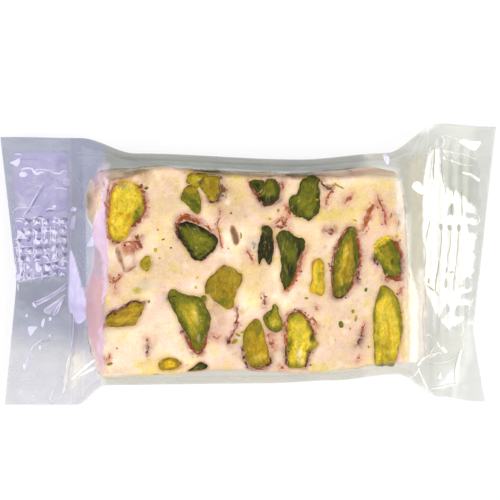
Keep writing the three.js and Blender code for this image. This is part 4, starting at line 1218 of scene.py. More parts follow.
def film_sheet(x, c, upper):
    """One sheet of the tube: flat over the bar's width, then a quarter ellipse to the widest line.
    Towards a seal the flat part widens, and both sheets close on the seal's surface."""
    seal_x, edge_x = at_end(x, SEAL_X), at_end(x, SEAL_EDGE)
    top_rise = smooth((x - seal_x) / (at_end(x, SHOULDER_X) - seal_x))
    foot_rise = smooth((x - seal_x) / (at_end(x, FOOT_X) - seal_x))
    reach = np.maximum(0, (x - seal_x) / (edge_x - seal_x))
    widest = np.where(c > 0, along(PACK_FAR, x), along(PACK_NEAR, x))
    flat = mix(widest - np.sign(c) * SEAL_SIDE_ROUND, film_side(x, c), top_rise)
    turn = np.maximum(0, np.abs(c) - FLAT_SHARE) / (1 - FLAT_SHARE) * (np.pi / 2)
    y = np.where(turn == 0, flat * np.abs(c) / FLAT_SHARE, mix(flat, widest, np.sin(turn)))

    swell = SEAL_WAVE * np.cos(2 * np.pi * y / SEAL_WAVE_LENGTH)
    inner = smooth((1 - np.abs(c)) / 0.2)
    seal = SEAL_HEIGHT + (swell - SEAL_DROOP) * smooth(reach) + crimps(x, y, reach)
    seal = seal + crumple(x, y) * inner
    top = mix(seal + SEAL_GAP / 2, BAR_TOP + FILM_GAP + uneven(x, y), top_rise)
    top = top + crumple(x + 9, y) * inner * 4 * top_rise * (1 - top_rise)
    seam_y = film_side(0.0, c) * np.abs(c) / FLAT_SHARE
    seam = smooth((seam_y - SEAM_NEAR) / SEAM_STEP) * smooth((SEAM_FAR - seam_y) / SEAM_STEP)
    bottom = mix(seal - SEAL_GAP / 2, SEAM_DEPTH * (1 - seam), foot_rise)
    side = mix(seal, WIDEST_HEIGHT + 2 * crumple(x, 3 * c), top_rise)
    z = mix(side, top if upper else bottom, np.cos(turn))

    off = y - at_end(x, KINK_Y)
    slope = np.where(off > 0, at_end(x, BOW_FAR), at_end(x, BOW_NEAR))
    bow = slope * (np.hypot(off, KINK_SOFTNESS) - KINK_SOFTNESS)
    crimped = at_end(x, CRIMPS) * CRIMP_PITCH / np.abs(edge_x - seal_x)
    share = mix(CRIMP_BOW * reach, 1, smooth((reach - crimped) / (1 - crimped)))
    return flat_points(x + np.sign(x) * bow * share, y, z)


def film_over(x, y):
    """The upper sheet's point above x, y: its row and column are corrected by what is still missing
    until they settle."""
    row, column = x + 0.0, y / OVER_SPAN
    for _ in range(OVER_ROUNDS):
        p = film_sheet(row, column, True)
        row = row + OVER_PACE_X * (x - p[..., 0])
        column = column + OVER_PACE_Y * (y - p[..., 1])
    return p


def patched(tone, cloud, label, strength, share):
    """The film's tone and its cloudiness with painted light under a patch that covers this share of it."""
    return mix(tone, FILM_TONES[label], share[:, None]), mix(cloud, strength, share)


def film_clouds(points, reach, on_top):
    """The film's tone and its cloudiness with painted light at its points: the clouded and painted
    places, which end at the bar's walls, ragged streaks in the painted reflection of the start's seal,
    and the painted glare on top."""
    x, y, z = points.T
    seen_x, seen_y = (p + lean * (z - FOOT_LEVEL) for p, lean in zip((x, y), LEAN))
    start, end, near, far = bar_edges(x, y, WALL_RISE)
    inside_walls = np.minimum.reduce([seen_x - start, end - seen_x, seen_y - near, far - seen_y])
    over_bar = smooth(WALL_SHARE + inside_walls / WALL_SOFTNESS)
    place = flat_points(x, y)
    edge_x = x + noises(place, (0.35, 1.4, 81), (0.2, 0.6, 81))
    edge_y = y + noises(place, (0.35, 1.4, 82), (0.2, 0.6, 82))
    tone, cloud = FILM_TONES["highlight_white"], np.zeros(len(points))
    for label, strength, softness, outline in HAZE_AND_PAINTED_LIGHT:
        if softness < ROUNDED_BELOW:
            inside = outline_distance(x, y, closed_curve(outline, ROUNDED_STEPS))
        else:
            inside = outline_distance(edge_x, edge_y, outline)
        share = smooth(0.5 + inside / softness) * (1 - over_bar)
        if softness < UPPER_BELOW:
            share = share * on_top
        tone, cloud = patched(tone, cloud, label, strength, share)
    cloud = cloud * mix(1, 0.96 + 0.12 * noise(place * (2.2, 0.7, 1), 1.2, 83), cloud > 0.6)
    streaky = 0.26 * noise(place * (1, 0.8, 1), 1.5, 84) + 0.34 * noise(place * (0.8, 1.3, 1), 0.6, 85)
    in_seal = smooth((y + 3) / 3) * smooth((26 - y) / 1.5) * smooth(reach / 0.1) * smooth((x + 53) / 0.8)
    cloud = cloud * (1 + streaky * in_seal * (x < 0))
    for label, strength, softness, outline in GLARE:
        share = smooth(0.5 + outline_distance(edge_x, edge_y, outline) / softness) * on_top
        tone, cloud = patched(tone, cloud, label, strength, share)
    return tone, np.clip(cloud, 0, 1)


def film_wrap(material):
    """The tube of film: its upper and lower sheets joined at their sides, and at both cut edges."""
    x, c = film_rows(), film_columns()
    upper, lower = film_sheet(x, c, True), film_sheet(x, c, False)
    rows, columns = upper.shape[:2]
    ring = np.concatenate([upper, lower[:, -2:0:-1]], axis=1)
    size = ring.shape[1]
    faces = grid_faces(rows, size, closed=True).tolist()
    k = np.arange(columns - 1)
    column = np.arange(columns)
    below = np.where(column % (columns - 1) == 0, column, size - column)
    cap = np.stack([k, k + 1, below[k + 1], below[k]], axis=-1)
    caps = np.concatenate([cap, cap[:, ::-1] + (rows - 1) * size]).tolist()
    faces += [sorted(set(face), key=face.index) for face in caps]
    points = ring.reshape(-1, 3)

    on_top = np.tile(np.arange(size) < columns, rows)
    row = np.repeat(x.ravel(), size)
    reach = np.maximum(0, (row - at_end(row, SEAL_X)) / (at_end(row, SEAL_EDGE) - at_end(row, SEAL_X)))
    tone, cloud = film_clouds(points, reach, on_top)
    still = 1.0 - on_top * smooth(reach / 0.15)
    return piece("film", points, faces, material, "clear_film", cloud=cloud, still=still, film_colour=tone)


# Sharp folds in the upper sheet, coloured with painted highlights, and the shade and steel ones with
# painted shade: tone, width, path.
FOLDS = [
    ("ice", 0.35, [(-53.2, 26), (-51.6, 26)]),
    ("veil", 0.25, [(-51.5, 24.9), (-49.5, 24.8), (-47.8, 24.8)]),
    ("ice", 0.75, [(-51.9, 22.6), (-50.5, 22.9), (-49.3, 22.7), (-48.9, 22.1), (-48.2, 21.7), (-47.5, 22),
      (-46.6, 22)]),
    ("ice", 0.5, [(-49, 22.2), (-48, 22.6), (-46.8, 22.6), (-45.2, 22.3)]),
    ("ice", 0.45, [(-45.2, 22.4), (-44.4, 21.9), (-43.2, 21.8), (-42.3, 22.4), (-41.5, 22.1)]),
    ("ice", 0.3, [(-46.7, 20), (-47.9, 18), (-48.9, 16.1), (-50, 14.2), (-50.9, 13), (-51.4, 11.8)]),
    ("steel", 0.22, [(-46.6, 19), (-48.4, 16.2), (-49.6, 14.1), (-50.5, 12.9)]),
    ("veil", 0.2, [(-44.6, 16.5), (-46, 14.8), (-46.9, 13.9), (-48, 12.3), (-49.1, 10.7)]),
    ("ice", 0.4, [(-44.2, 18.5), (-43, 18.6), (-41.4, 18.2)]),
    ("veil", 0.5, [(-52, 17.2), (-50.6, 18.4), (-48.6, 18.6), (-47, 17.6)]),
    ("veil", 0.4, [(-45.8, 19.8), (-44.4, 20.4), (-43.2, 20)]),
    ("ice", 0.32, [(-53.7, 12.9), (-53.3, 13.6), (-52.6, 14.1), (-50.9, 14.2), (-49, 14.3), (-47.5, 14.7)]),
    ("ice", 0.4, [(-46.3, 13.7), (-45.4, 14), (-44.2, 13.9)]),
    ("steel", 0.25, [(-46.4, 13.3), (-45.4, 13.5), (-44.6, 13.4)]),
    ("veil", 0.22, [(-45, 13.2), (-43.2, 13.4), (-42, 13.9)]),
    ("ice", 0.5, [(-52.9, 11.2), (-51.9, 11.2), (-51.4, 10.8)]),
    ("ice", 0.4, [(-48.2, 11.6), (-47.3, 11.8), (-46.6, 11.5)]),
    ("ice", 0.45, [(-49.2, 9.6), (-48.5, 8.5), (-48.5, 7.7), (-48.9, 6.6), (-48.9, 5.6)]),
    ("ice", 0.45, [(-46.7, 9.6), (-46.6, 8.6), (-46.7, 7.2)]),
    ("ice", 0.35, [(-44.4, 10.2), (-44.3, 9), (-44.2, 7.8), (-44.3, 6.4)]),
    ("ice", 0.5, [(-51.6, 7.9), (-51.1, 7.5), (-50.4, 7.3)]),
    ("ice", 0.28, [(-53.4, 7), (-52.9, 7.2), (-52.4, 7.1)]),
    ("ice", 0.28, [(-53.5, 5.3), (-52.4, 5.4), (-51.1, 5.5), (-49, 5.7)]),
    ("veil", 0.28, [(-49, 5.7), (-47.3, 5.8), (-46.2, 6.5)]),
    ("veil", 0.28, [(-46.8, 5.4), (-45.4, 5.9), (-44.3, 6.6)]),
    ("ice", 0.55, [(-52.7, 7.3), (-52.4, 6), (-52.2, 5), (-52.1, 3), (-51.9, 1), (-52, -1), (-52.4, -2.4)]),
    ("ice", 0.4, [(-49.1, 3.1), (-48.5, 4.1), (-47.7, 4.4)]),
    ("ice", 0.4, [(-46.7, 3.2), (-46.1, 4.2), (-45.7, 3.6)]),
    ("ice", 0.35, [(-43.9, 4.8), (-44, 3.8), (-43.8, 2.9)]),
    ("ice", 0.32, [(-46.5, 1.9), (-45.3, 2.2), (-43.9, 2.5), (-42.1, 3.2)]),
    ("ice", 0.28, [(-52, 1.7), (-50.4, 1.7), (-49, 1.8)]),
    ("ice", 0.5, [(-44.4, 1.5), (-43, 0.9), (-41.9, 0.8)]),
    ("ice", 0.3, [(-52.3, -2.3), (-50, -1.6), (-47, -1.1), (-44.5, -0.8)]),
    ("ice", 0.3, [(-52.5, -2.6), (-52.5, -3.6), (-52.4, -4.4)]),
    ("ice", 0.28, [(-49.2, -6.8), (-47.5, -6.2), (-45, -4.9), (-43.2, -3.7), (-41.9, -2.6)]),
    ("ice", 0.28, [(-48.7, -7.7), (-47.3, -6.9), (-44.9, -5.5), (-43.2, -4.4), (-41.8, -3.6)]),
    ("ice", 0.5, [(-49.3, -6.9), (-48.9, -7.4), (-48.6, -8)]),
    ("ice", 0.3, [(-42, -5.2), (-44.2, -6.8), (-46.8, -8.5)]),
    ("ice", 0.35, [(-42.4, -6), (-43.8, -7.8), (-44.9, -9.6)]),
    ("ice", 0.35, [(-42.9, -6.6), (-43.4, -8), (-43.9, -9.3)]),
    ("ice", 0.4, [(-47.3, -15.1), (-48.6, -16), (-49.8, -17.6), (-50.4, -19.5), (-51, -21),
      (-51.2, -21.9)]),
    ("pearl", 0.3, [(-47.5, -15.4), (-46.4, -15.5), (-45.2, -14.9)]),
    ("ice", 0.18, [(-39.9, -1.2), (-40.2, -5), (-40.3, -9)]),
    ("ice", 0.3, [(-40.3, -9), (-40.4, -14), (-41.2, -19), (-41.9, -23), (-42.6, -26), (-43.2, -28.5)]),
    ("highlight_white", 0.9, [(-41, -18), (-41.6, -21.5), (-42, -24), (-42.6, -27)]),
    ("veil", 0.2, [(-39.9, -14), (-40.2, -16.5), (-40.9, -20)]),
    ("ice", 0.35, [(-44.7, -26), (-45.2, -27.2), (-45.6, -28.4)]),
    ("highlight_white", 1, [(-35.6, -19), (-37.2, -20.4), (-39.2, -22.4), (-40.8, -24.1)]),
    ("highlight_white", 0.8, [(-35.4, -20.6), (-37.2, -21.8), (-39.2, -23.1)]),
    ("milk", 0.5, [(-38.4, -22.6), (-40, -24), (-41.4, -26.2)]),
    ("veil", 0.2, [(-53.5, 26.3), (-48, 26.4), (-41.5, 26.5), (-36, 26.2), (-33, 26.2)]),
    ("veil", 0.22, [(-41.3, 22), (-41.3, 10), (-41.3, 0), (-41.6, -8)]),
    ("veil", 0.18, [(-53.9, 24), (-53.5, 14), (-53, 6), (-52.8, 2)]),
    ("highlight_white", 0.3, [(41.6, 26.9), (43.9, 26.3), (46.7, 25.9), (48.4, 25.2), (49.8, 24.7)]),
    ("highlight_white", 0.3, [(41.6, 25), (43.9, 24.4), (45.7, 23.8), (47.2, 23.5), (48.9, 23.4)]),
    ("highlight_white", 0.4, [(41.6, 30.1), (42.1, 29), (41.8, 28), (40.8, 27.2)]),
    ("highlight_white", 0.25, [(42.2, 30.1), (44.6, 29.5), (46.6, 28.9), (50.4, 28.6)]),
    ("highlight_white", 0.4, [(39.9, 27.8), (39.6, 25), (39.2, 22), (38.6, 20)]),
    ("highlight_white", 0.3, [(49.9, 12.5), (50.2, 11.2), (49.6, 10.2)]),
    ("highlight_white", 0.4, [(38, -14.6), (38.8, -14.2), (39.6, -15.1)]),
    ("highlight_white", 0.4, [(40.6, -15.8), (41.2, -17), (42.4, -18.4)]),
    ("highlight_white", 0.4, [(38.9, -19.5), (39.9, -18.8), (41, -18.2), (41.6, -18.6)]),
    ("highlight_white", 0.25, [(38.9, -18.9), (39.6, -17.6), (40, -17.2)]),
    ("highlight_white", 0.9, [(35.8, -20.9), (36.8, -20), (37.8, -19.2)]),
    ("highlight_white", 0.35, [(37.8, -19.4), (39, -18.8), (40.3, -18.4)]),
    ("highlight_white", 0.28, [(38.5, -20.1), (40.3, -20.6), (42, -20.5), (43.8, -20), (45, -19.4)]),
    ("highlight_white", 0.45, [(35.9, -21.2), (36.8, -23), (38, -25.3), (38.6, -26.6)]),
    ("ice", 0.4, [(37, -23.4), (37.4, -24.4), (37.6, -25)]),
    ("highlight_white", 0.28, [(36.4, -21.4), (35.2, -22.8), (34.2, -23.6)]),
    ("highlight_white", 0.55, [(39, -26.4), (41, -26.1), (43.2, -25.7), (45.3, -25.4)]),
    ("highlight_white", 0.9, [(45, -25.4), (45.2, -22.5), (45.7, -19.6), (45.9, -18.4)]),
    ("highlight_white", 0.6, [(45.7, -19.4), (46, -18.4), (46.2, -17.4)]),
    ("highlight_white", 0.4, [(46, -14.8), (46.6, -13.4), (46.4, -12)]),
    ("highlight_white", 0.35, [(47.8, -9.2), (48.3, -7.6), (48.7, -6.4)]),
    ("pearl", 0.3, [(37.6, -7), (37.3, -11), (37.6, -15), (37.8, -19)]),
    ("highlight_white", 0.25, [(37.9, 26.2), (38.9, 26.2), (39, 27.4), (39.8, 27.8)]),
    ("shade", 0.22, [(41.6, 8.9), (41.6, 6.9), (41.4, 4.9), (41.2, 2.6)]),
    ("shade", 0.4, [(41.1, 2.3), (40.9, 0.4), (40.5, -1.5), (40.3, -3.4), (40.3, -4.7), (41.1, -5.6)]),
    ("shade", 0.22, [(43.7, 8.8), (43.7, 6.8), (43.4, 4.6), (43.1, 3.6), (43, 1.6)]),
    ("shade", 0.45, [(42.9, 0.9), (42.8, 0.1), (42.6, -0.6)]),
    ("shade", 0.75, [(42.6, -1.7), (42.6, -2.8), (42.6, -3.9)]),
    ("shade", 0.25, [(45.6, 8.3), (45.4, 6.8), (45.3, 4.9), (45.1, 2.9), (44.9, 0.8)]),
    ("shade", 0.5, [(44.9, 1.2), (44.7, -0.9), (44.5, -2.8), (44.5, -4.7)]),
    ("shade", 0.5, [(43.4, -0.4), (44, -0.4), (44.6, -0.4)]),
    ("shade", 0.5, [(39, 11), (38.6, 9.3), (38.3, 8), (38.1, 6.2)]),
    ("shade", 0.22, [(38.1, 5.4), (38, 2.8), (38.1, 1)]),
    ("shade", 0.5, [(38.2, -3.2), (39, -3.8), (40, -4.5)]), ("shade", 0.45, [(38.7, -1.6), (38.7, -2.9)]),
    ("shade", 0.45, [(40.1, 27.6), (40, 25), (39.8, 22.4), (39.9, 20.2)]),
    ("shade", 0.4, [(42.6, 19.4), (42.6, 18.2), (42.6, 16.9)]),
    ("shade", 0.4, [(44.4, 18.9), (44.4, 17.6), (44.4, 16.4)]),
    ("shade", 0.4, [(46.2, 17.6), (46.3, 15), (46.3, 12.2)]),
    ("shade", 0.9, [(44, 14.9), (44.1, 13.6), (44.1, 12.2)]),
    ("shade", 0.25, [(37.8, 12), (37.8, 4), (37.9, -4), (38.1, -8)]),
    ("shade", 0.3, [(41.5, 24), (41.8, 21), (42.3, 18.5)]),
]

# Dents with painted glints, and the shade ones with painted shade: tone, outline.
GLINTS = [
    ("veil", [(-49, -7.2), (-48.8, -7.7), (-44.9, -5.6), (-41.8, -3.6), (-42, -2.8), (-45, -4.9)]),
    ("lilac", [(-46.9, -8.6), (-45.6, -9.5), (-43.6, -7.2), (-41.9, -4.8), (-43.4, -5.8), (-45.4, -7.2)]),
    ("veil", [(-44.8, -9.6), (-43.8, -9.2), (-42.3, -5.9), (-43.4, -7.4)]),
    ("lilac", [(-37.5, 5.9), (-36.2, 8.2), (-35.9, 7), (-36, 5.8)]),
    ("veil", [(-40.9, 9.5), (-40.5, 12.2), (-39.7, 12.2), (-40.1, 9.5)]),
    ("veil", [(-40.8, 13.4), (-40.4, 14.4), (-39.5, 14), (-39.8, 13.4)]),
    ("highlight_white", [(45.2, 28.6), (46.5, 29.4), (48.5, 28.8), (50.6, 28.7), (49.2, 26.6), (47.2, 27.4)]),
    ("highlight_white", [(46.3, 22), (48.4, 21.6), (50.2, 20.4), (50.1, 19.7), (48.4, 20.9), (46.6, 21.5)]),
    ("highlight_white", [(34.2, 19.2), (35, 20), (36.3, 19.9), (37.3, 18.6), (37.3, 17), (35.8, 17.5), (34.5, 18.4)]),
    ("ice", [(28.2, 26), (29.4, 26), (29.3, 24.6), (28.8, 23.7), (28.2, 24.8)]),
    ("ice", [(-54.2, 24.1), (-53.2, 24.6), (-52, 25.2), (-52, 24.2), (-52.7, 23.2), (-53.4, 23.6)]),
    ("ice", [(-52.2, 21.5), (-51.6, 22.2), (-50.7, 22), (-50.4, 21.5), (-51, 20.9), (-51.9, 21)]),
    ("ice", [(-44.9, 14.4), (-44.4, 14.9), (-43.9, 14.6), (-44.4, 14.1)]),
    ("ice", [(-49.2, 11.2), (-48.9, 11.7), (-48.7, 11.2), (-49, 10.7)]),
    ("ice", [(-44.7, 12), (-44.4, 12.3), (-43.6, 11.9), (-44.3, 11.7)]),
    ("ice", [(-42.2, 10.4), (-41.9, 10.2), (-41.7, 9.5), (-42.1, 9.8)]),
    ("ice", [(-50.3, -12.3), (-49.3, -12.1), (-48.2, -12.3), (-48.9, -13.2), (-49.7, -14.3),
      (-50.2, -13.4)]),
    ("ice", [(-47.4, -11.6), (-47, -10.6), (-46.6, -10.4), (-46.7, -11.4), (-47.1, -12.4)]),
    ("ice", [(-45.7, -10.2), (-45.2, -10.1), (-45.1, -10.6), (-45.6, -10.9)]),
    ("ice", [(-50.8, -9.6), (-50.5, -9.4), (-50.4, -10), (-50.7, -10.1)]),
    ("ice", [(-51.4, -20.6), (-51, -20.4), (-50.8, -21), (-51.1, -22), (-51.4, -21.6)]),
    ("ice", [(-45.7, -14), (-45.4, -13.9), (-45.2, -14.4), (-45.6, -14.4)]),
    ("ice", [(-47.9, -16.5), (-47.5, -16.4), (-47.5, -17.2), (-47.8, -17.3)]),
    ("ice", [(-52.2, -26.7), (-51.8, -26.3), (-51.5, -26.6), (-51.9, -26.9)]),
    ("ice", [(-49.3, -27.5), (-49, -27.4), (-48.9, -27.8), (-49.2, -27.9)]),
    ("lilac", [(-42.5, 19.6), (-42, 20.7), (-41.2, 20.8), (-40.7, 19.8), (-41.5, 19)]),
    ("ice", [(-48.7, 1.9), (-47.5, 2), (-47.2, 0.5), (-48.3, -0.1)]),
    ("ice", [(-46.5, 1.6), (-44.9, 1), (-46.3, 0)]),
    ("ice", [(-52, 8), (-51.3, 8.5), (-50.6, 7.7), (-51.4, 7.3)]),
    ("highlight_white", [(41.8, -16.8), (42.8, -17.6), (43, -18.4), (42.2, -18.2), (41.6, -17.4)]),
    ("highlight_white", [(41.7, 25.4), (42.2, 25.4), (42.5, 24.7), (42, 24.7)]),
    ("highlight_white", [(43.6, 24.8), (44.1, 24.7), (44.3, 24.1), (43.9, 24.1)]),
    ("highlight_white", [(45.2, 24.2), (45.8, 24), (46.1, 23.6), (45.5, 23.6)]),
    ("highlight_white", [(42, 26.9), (42.3, 26.8), (42.5, 26.3), (42.1, 26.3)]),
    ("highlight_white", [(43.7, 26.7), (44, 26.5), (44.1, 26), (43.7, 26.2)]),
    ("shade", [(41.1, 10.2), (41.5, 10.5), (42, 9.9), (41.7, 8.9), (41.2, 9.3)]),
    ("shade", [(43, 10), (43.8, 10.1), (44, 9.2), (43.5, 8.8), (43.1, 9.3)]),
    ("shade", [(45.2, 10), (45.8, 10.2), (46, 9.2), (45.4, 8.5)]),
    ("highlight_white", [(41, -23.2), (41.5, -22.8), (41.6, -24.2), (40.8, -24)]),
]

NET_CORNER, NET_PITCH = np.array([-53.0, 11.6]), np.array([1.93, -1.95])
NET_COUNT = (6, 7)  # meshes of the net along X and Y
RIDGE_CHANCE, WING_CHANCE = 0.75, 0.85
WING = np.array([(-0.5, 0.34), (0.1, 0.2), (0.5, 0.42), (0.2, -0.1), (-0.1, -0.5), (-0.36, -0.1)])


def net(rng):
    """The net that the jaws press into the seam's thick stretch at the start. Of each mesh it gives
    the ridges along two sides, some of them missing, coloured with painted highlights, and a painted
    shade and a painted highlight on the two sides of its dent."""
    ridges, wings = [], []
    for mesh in np.ndindex(*NET_COUNT):
        corner = NET_CORNER + NET_PITCH * mesh + rng.normal(0, 0.1, 2)
        corner[1] += 0.12 * mesh[0]
        for along_side in (NET_PITCH * (1, 0.08), NET_PITCH * (0.05, 1)):
            if rng.random() < RIDGE_CHANCE:
                bend = rng.normal(0, 0.12, 2)
                path = [corner, corner + 0.5 * along_side + bend, corner + 1.05 * along_side]
                ridges.append((("ice", "veil")[rng.integers(2)], rng.uniform(0.14, 0.45), path))
        for tone, place in (("steel", (0.62, 0.3)), ("ice", (0.4, 0.6))):
            if rng.random() < WING_CHANCE:
                wing = WING * rng.uniform(0.8, 1.5, 2) * rng.choice([-1, 1], 2) + corner + NET_PITCH * place
                wings.append((tone, wing + rng.normal(0, 0.24, WING.shape)))
    return ridges, wings


# How strongly each tone of fold and glint lays its painted highlight, or for shade and steel its painted
# shade, on the film.
MARK_STRENGTH = {  # how cloudy each tone of fold and glint is
    "highlight_white": 0.75, "ice": 0.75, "shade": 0.65, "veil": 0.5,
    "lilac": 0.5, "steel": 0.45, "milk": 0.4, "pearl": 0.4,
}
FOLD_STEPS, RIDGE_STEPS, GLINT_AROUND = 26, 9, 20  # points along a fold and a ridge, and round a glint
# A fold's section: share of its half width, and height over the sheet. A glint's rings: share of its
# outline, and height over the sheet.
FOLD_RING = [(-1.0, -0.02), (-0.5, 0.07), (0.0, 0.12), (0.5, 0.07), (1.0, -0.02), (0.0, -0.06)]
GLINT_ROWS = [(0.1, 0.08), (0.5, 0.07), (0.85, 0.05), (1.0, 0.0), (0.5, -0.06)]


def film_folds(material):
    """Small folds standing out of the upper sheet, carrying painted highlights and painted shade. A long
    one is a low tent carried along its path, its width swelling from the tips. A glint is a shallow dome
    over its outline."""
    folds = Parts()

    def mark(plan, lift, tone, flip=False):
        """Adds one small closed shape: its rings in plan, and their heights over the sheet."""
        points = film_over(plan[..., 0], plan[..., 1]) + flat_points(0, 0, lift)
        size = points.shape[:2]
        values = {"cloud": np.full(size, MARK_STRENGTH[tone]), "still": np.ones(size)}
        folds.rings(points, flip, film_colour=np.broadcast_to(FILM_TONES[tone], points.shape), **values)

    across, lift = np.array(FOLD_RING).T
    ridges, wings = net(np.random.default_rng(12))
    for number, (tone, width, path) in enumerate(FOLDS + ridges):
        line, side = ribbon(path, FOLD_STEPS if number < len(FOLDS) else RIDGE_STEPS)
        swell = np.sqrt(np.sin(np.pi * np.linspace(0.03, 0.97, len(line))))
        ragged = 1 + 0.4 * noise(flat_points(*line.T, number), 0.9, 71)
        half = (0.5 * width * swell * ragged)[:, None, None]
        mark(line[:, None, :] + half * across[:, None] * side[:, None, :], lift, tone)
    share, lift = np.array(GLINT_ROWS).T[..., None]
    for tone, outline in GLINTS + wings:
        edge = closed_curve(outline, GLINT_AROUND)
        mark(edge.mean(0) + share[..., None] * (edge - edge.mean(0)), lift, tone, flip=True)
    return folds.mesh("film_folds", material, "clear_film")


# ---------------------------------------------------------------- finishes


def nougat_finish():
    """Nougat: its painted tint under fine mottling, with a soft, slightly rough surface."""
    f = Finish("nougat", Subsurface_Weight=0.12, Subsurface_Radius=(0.004, 0.0025, 0.0015),
               Subsurface_Scale=1.0, Specular_IOR_Level=0.4)
    at = f.place()
    fine = f.clouds(at, 0.35, 4)
    soft = f.clouds(at, 2.4, 3)
    dust = f.clouds(at, 0.8, 4, 0.7)
    specks = f.clouds(at, 0.42, 2, 0.5, 0.4)
    tint = f.value("tint_colour", "Color")
    tint = f.blend(soft.between(0.44, 0.66) * 0.4, tint, tuple(TONES["rose"]))
    tint = f.blend(dust.between(0.50, 0.68) * 0.36, tint, tuple(TONES["butter"]))
    tint = f.blend(fine.between(0.40, 0.66) * 0.32, tint, (0.80, 0.66, 0.52), "MULTIPLY")
    tint = f.blend(specks.between(0.72, 0.80) * 0.45, tint, tuple(TONES["rust"]))
    f.set(Base_Color=tint, Roughness=0.42 + fine * 0.25)
    grain = f.bump(f.clouds(at, 0.6, 5), 0.12)
    f.set(Normal=f.bump(f.clouds(at, 2.0, 2), 0.28, grain))
    return f.material


def kernel_finish():
    """Kernels: their painted colour under streaks and mottling that follow each one's grain."""
    f = Finish("pistachio", Subsurface_Weight=0.04, Subsurface_Radius=(0.002, 0.002, 0.0008),
               Specular_IOR_Level=0.18)
    grain = f.value("grain", "Vector")
    streaks = f.clouds(f.place((0.4, 1.4, 1), grain), 0.8, 4, 0.6)
    mottle = f.clouds(f.place((0.7, 1.0, 1), grain), 1.3, 5, 0.65, 0.6)
    fleck = f.clouds(grain, 0.3, 3)
    colour = f.value("kernel_colour", "Color")
    shaded = f.blend(1.0, colour, (0.70, 0.72, 0.42), "MULTIPLY")
    colour = f.blend(mottle.between(0.62, 0.38), colour, shaded)
    colour = f.blend(streaks.between(0.52, 0.75) * 0.25, colour, (0.86, 0.74, 0.16))
    colour = f.blend(fleck.between(0.55, 0.68) * 0.55, colour, (0.4, 0.36, 0.14), "MULTIPLY")
    f.set(Base_Color=colour, Roughness=0.28 + fleck * 0.4)
    f.set(Normal=f.bump(streaks, 0.4, f.bump(fleck, 0.18)))
    return f.material


def skin_finish():
    """Skins: their painted colour under fine wrinkles."""
    f = Finish("kernel_skin", Specular_IOR_Level=0.25)
    at = f.place()
    wrinkle = f.clouds(at, 0.35, 4)
    colour = f.value("skin_colour", "Color")
    colour = f.blend(wrinkle.between(0.4, 0.7) * 0.7, colour, (0.56, 0.42, 0.36), "MULTIPLY")
    f.set(Base_Color=colour, Roughness=0.35 + wrinkle * 0.3, Normal=f.bump(wrinkle, 0.1))
    return f.material


SEAL_SHINE, STILL_SHINE = 1.2, 0.25  # surfaces of the film that shine: in a seal, and where it is taut


def film_finish():
    """Clear film, which shines by Fresnel's law, most of all in the upper sheet of the seals, and which
    carries its haze together with painted shadows, reflections and highlights in its cloud and colour."""
    f = Finish("clear_film", Roughness=0.07, Specular_IOR_Level=0.0)
    at = f.place()
    streaks = f.clouds(f.place((0.35, 1, 1), at), 2.2, 4)
    cloud = f.value("cloud") * (0.75 + streaks * 0.5)
    surfaces = SEAL_SHINE - f.value("still") * (SEAL_SHINE - STILL_SHINE)
    gloss = f.node("ShaderNodeFresnel", None, {"IOR": 1.5}) * surfaces
    alpha = (cloud + gloss).clamped()
    shine = (gloss / alpha).clamped()
    colour = f.blend(shine, f.value("film_colour", "Color"), (1, 1, 1))
    f.set(Base_Color=colour, Metallic=shine, Alpha=alpha)
    f.set(Normal=f.bump(f.clouds(at, 3.0, 2), 0.05))
    return f.material


def floor_finish():
    """A pale table that glows a little, so that its white shows through the film."""
    return Finish("light_table", Base_Color=(0.22, 0.22, 0.22), Roughness=0.8, Specular_IOR_Level=0.1,
                  Emission_Color=(1, 1, 1), Emission_Strength=0.8).material


# ---------------------------------------------------------------- other faces of the bar

# Kernels cut by the sides: heart tone, rim tone, place along the face and above the middle of its
# height, length, width, turn.
SIDE_KERNELS = {
    "far": [
        ("olive", "leaf", -30.0, -1.8, 7, 4.0, 4),
        ("leaf", "moss", -9.6, 0.2, 7, 4.4, 10),
        ("leaf", "moss", 11.0, 1.0, 7, 4.4, -8),
        ("gold", "leaf", -20.5, -2.6, 8, 4.2, 14),
        ("lime", "leaf", 1.5, -1.8, 10, 4.8, -10),
        ("amber", "olive", 20.5, -3.0, 7, 3.8, 8),
    ],
    "near": [
        ("lime", "leaf", -27, -0.6, 9, 5.4, 12),
        ("leaf", "moss", -15.5, -2.2, 7, 4.6, -10),
        ("gold", "leaf", -4, -0.8, 10, 5.0, 5),
        ("moss", "pine", 8.4, -2.8, 6, 3.6, 20),
        ("olive", "leaf", 19.5, -0.2, 9, 5.2, -14),
        ("gold", "amber", 29.4, -2.4, 5.4, 4.0, 0),
    ],
    "start": [
        ("gold", "leaf", 7.0, -3.8, 5.0, 2.4, -6),
        ("lime", "leaf", -14.5, -4.0, 6.5, 2.2, 5),
    ],
    "end": [
        ("olive", "leaf", 14.5, -1.2, 7, 4.0, 10),
        ("lime", "leaf", 3.0, -4.1, 6.0, 2.0, 0),
    ],
}
UNDERSIDE_HALF = np.array([30.0, 19.0])
UNDERSIDE_COUNT = (6, 4)  # kernels cut by the underside, along and across
FACE_TONES = [
    ("gold", "leaf"), ("olive", "leaf"), ("leaf", "moss"),
    ("lime", "leaf"), ("amber", "olive"), ("moss", "pine"),
]


def egg(x, y, length, width, turn, taper):
    """An egg's outline: an ellipse whose width shrinks towards one tip by a cosine."""
    t = np.linspace(0, 2 * np.pi, EGG_CORNERS, endpoint=False)
    a, b = 0.5 * length * np.cos(t), 0.5 * width * np.sin(t) * (1 - taper * np.cos(t))
    return np.stack(turned(a, b, turn), axis=-1) + (x, y)


EGG_CORNERS = 10
RIM_STEPS, SKIN_STEP = 30, 3  # points round a kernel's rim, and from one to the next along its skin
SKIN_REACH = 1.03  # of a skin's line from the kernel's middle, in radii of its rim


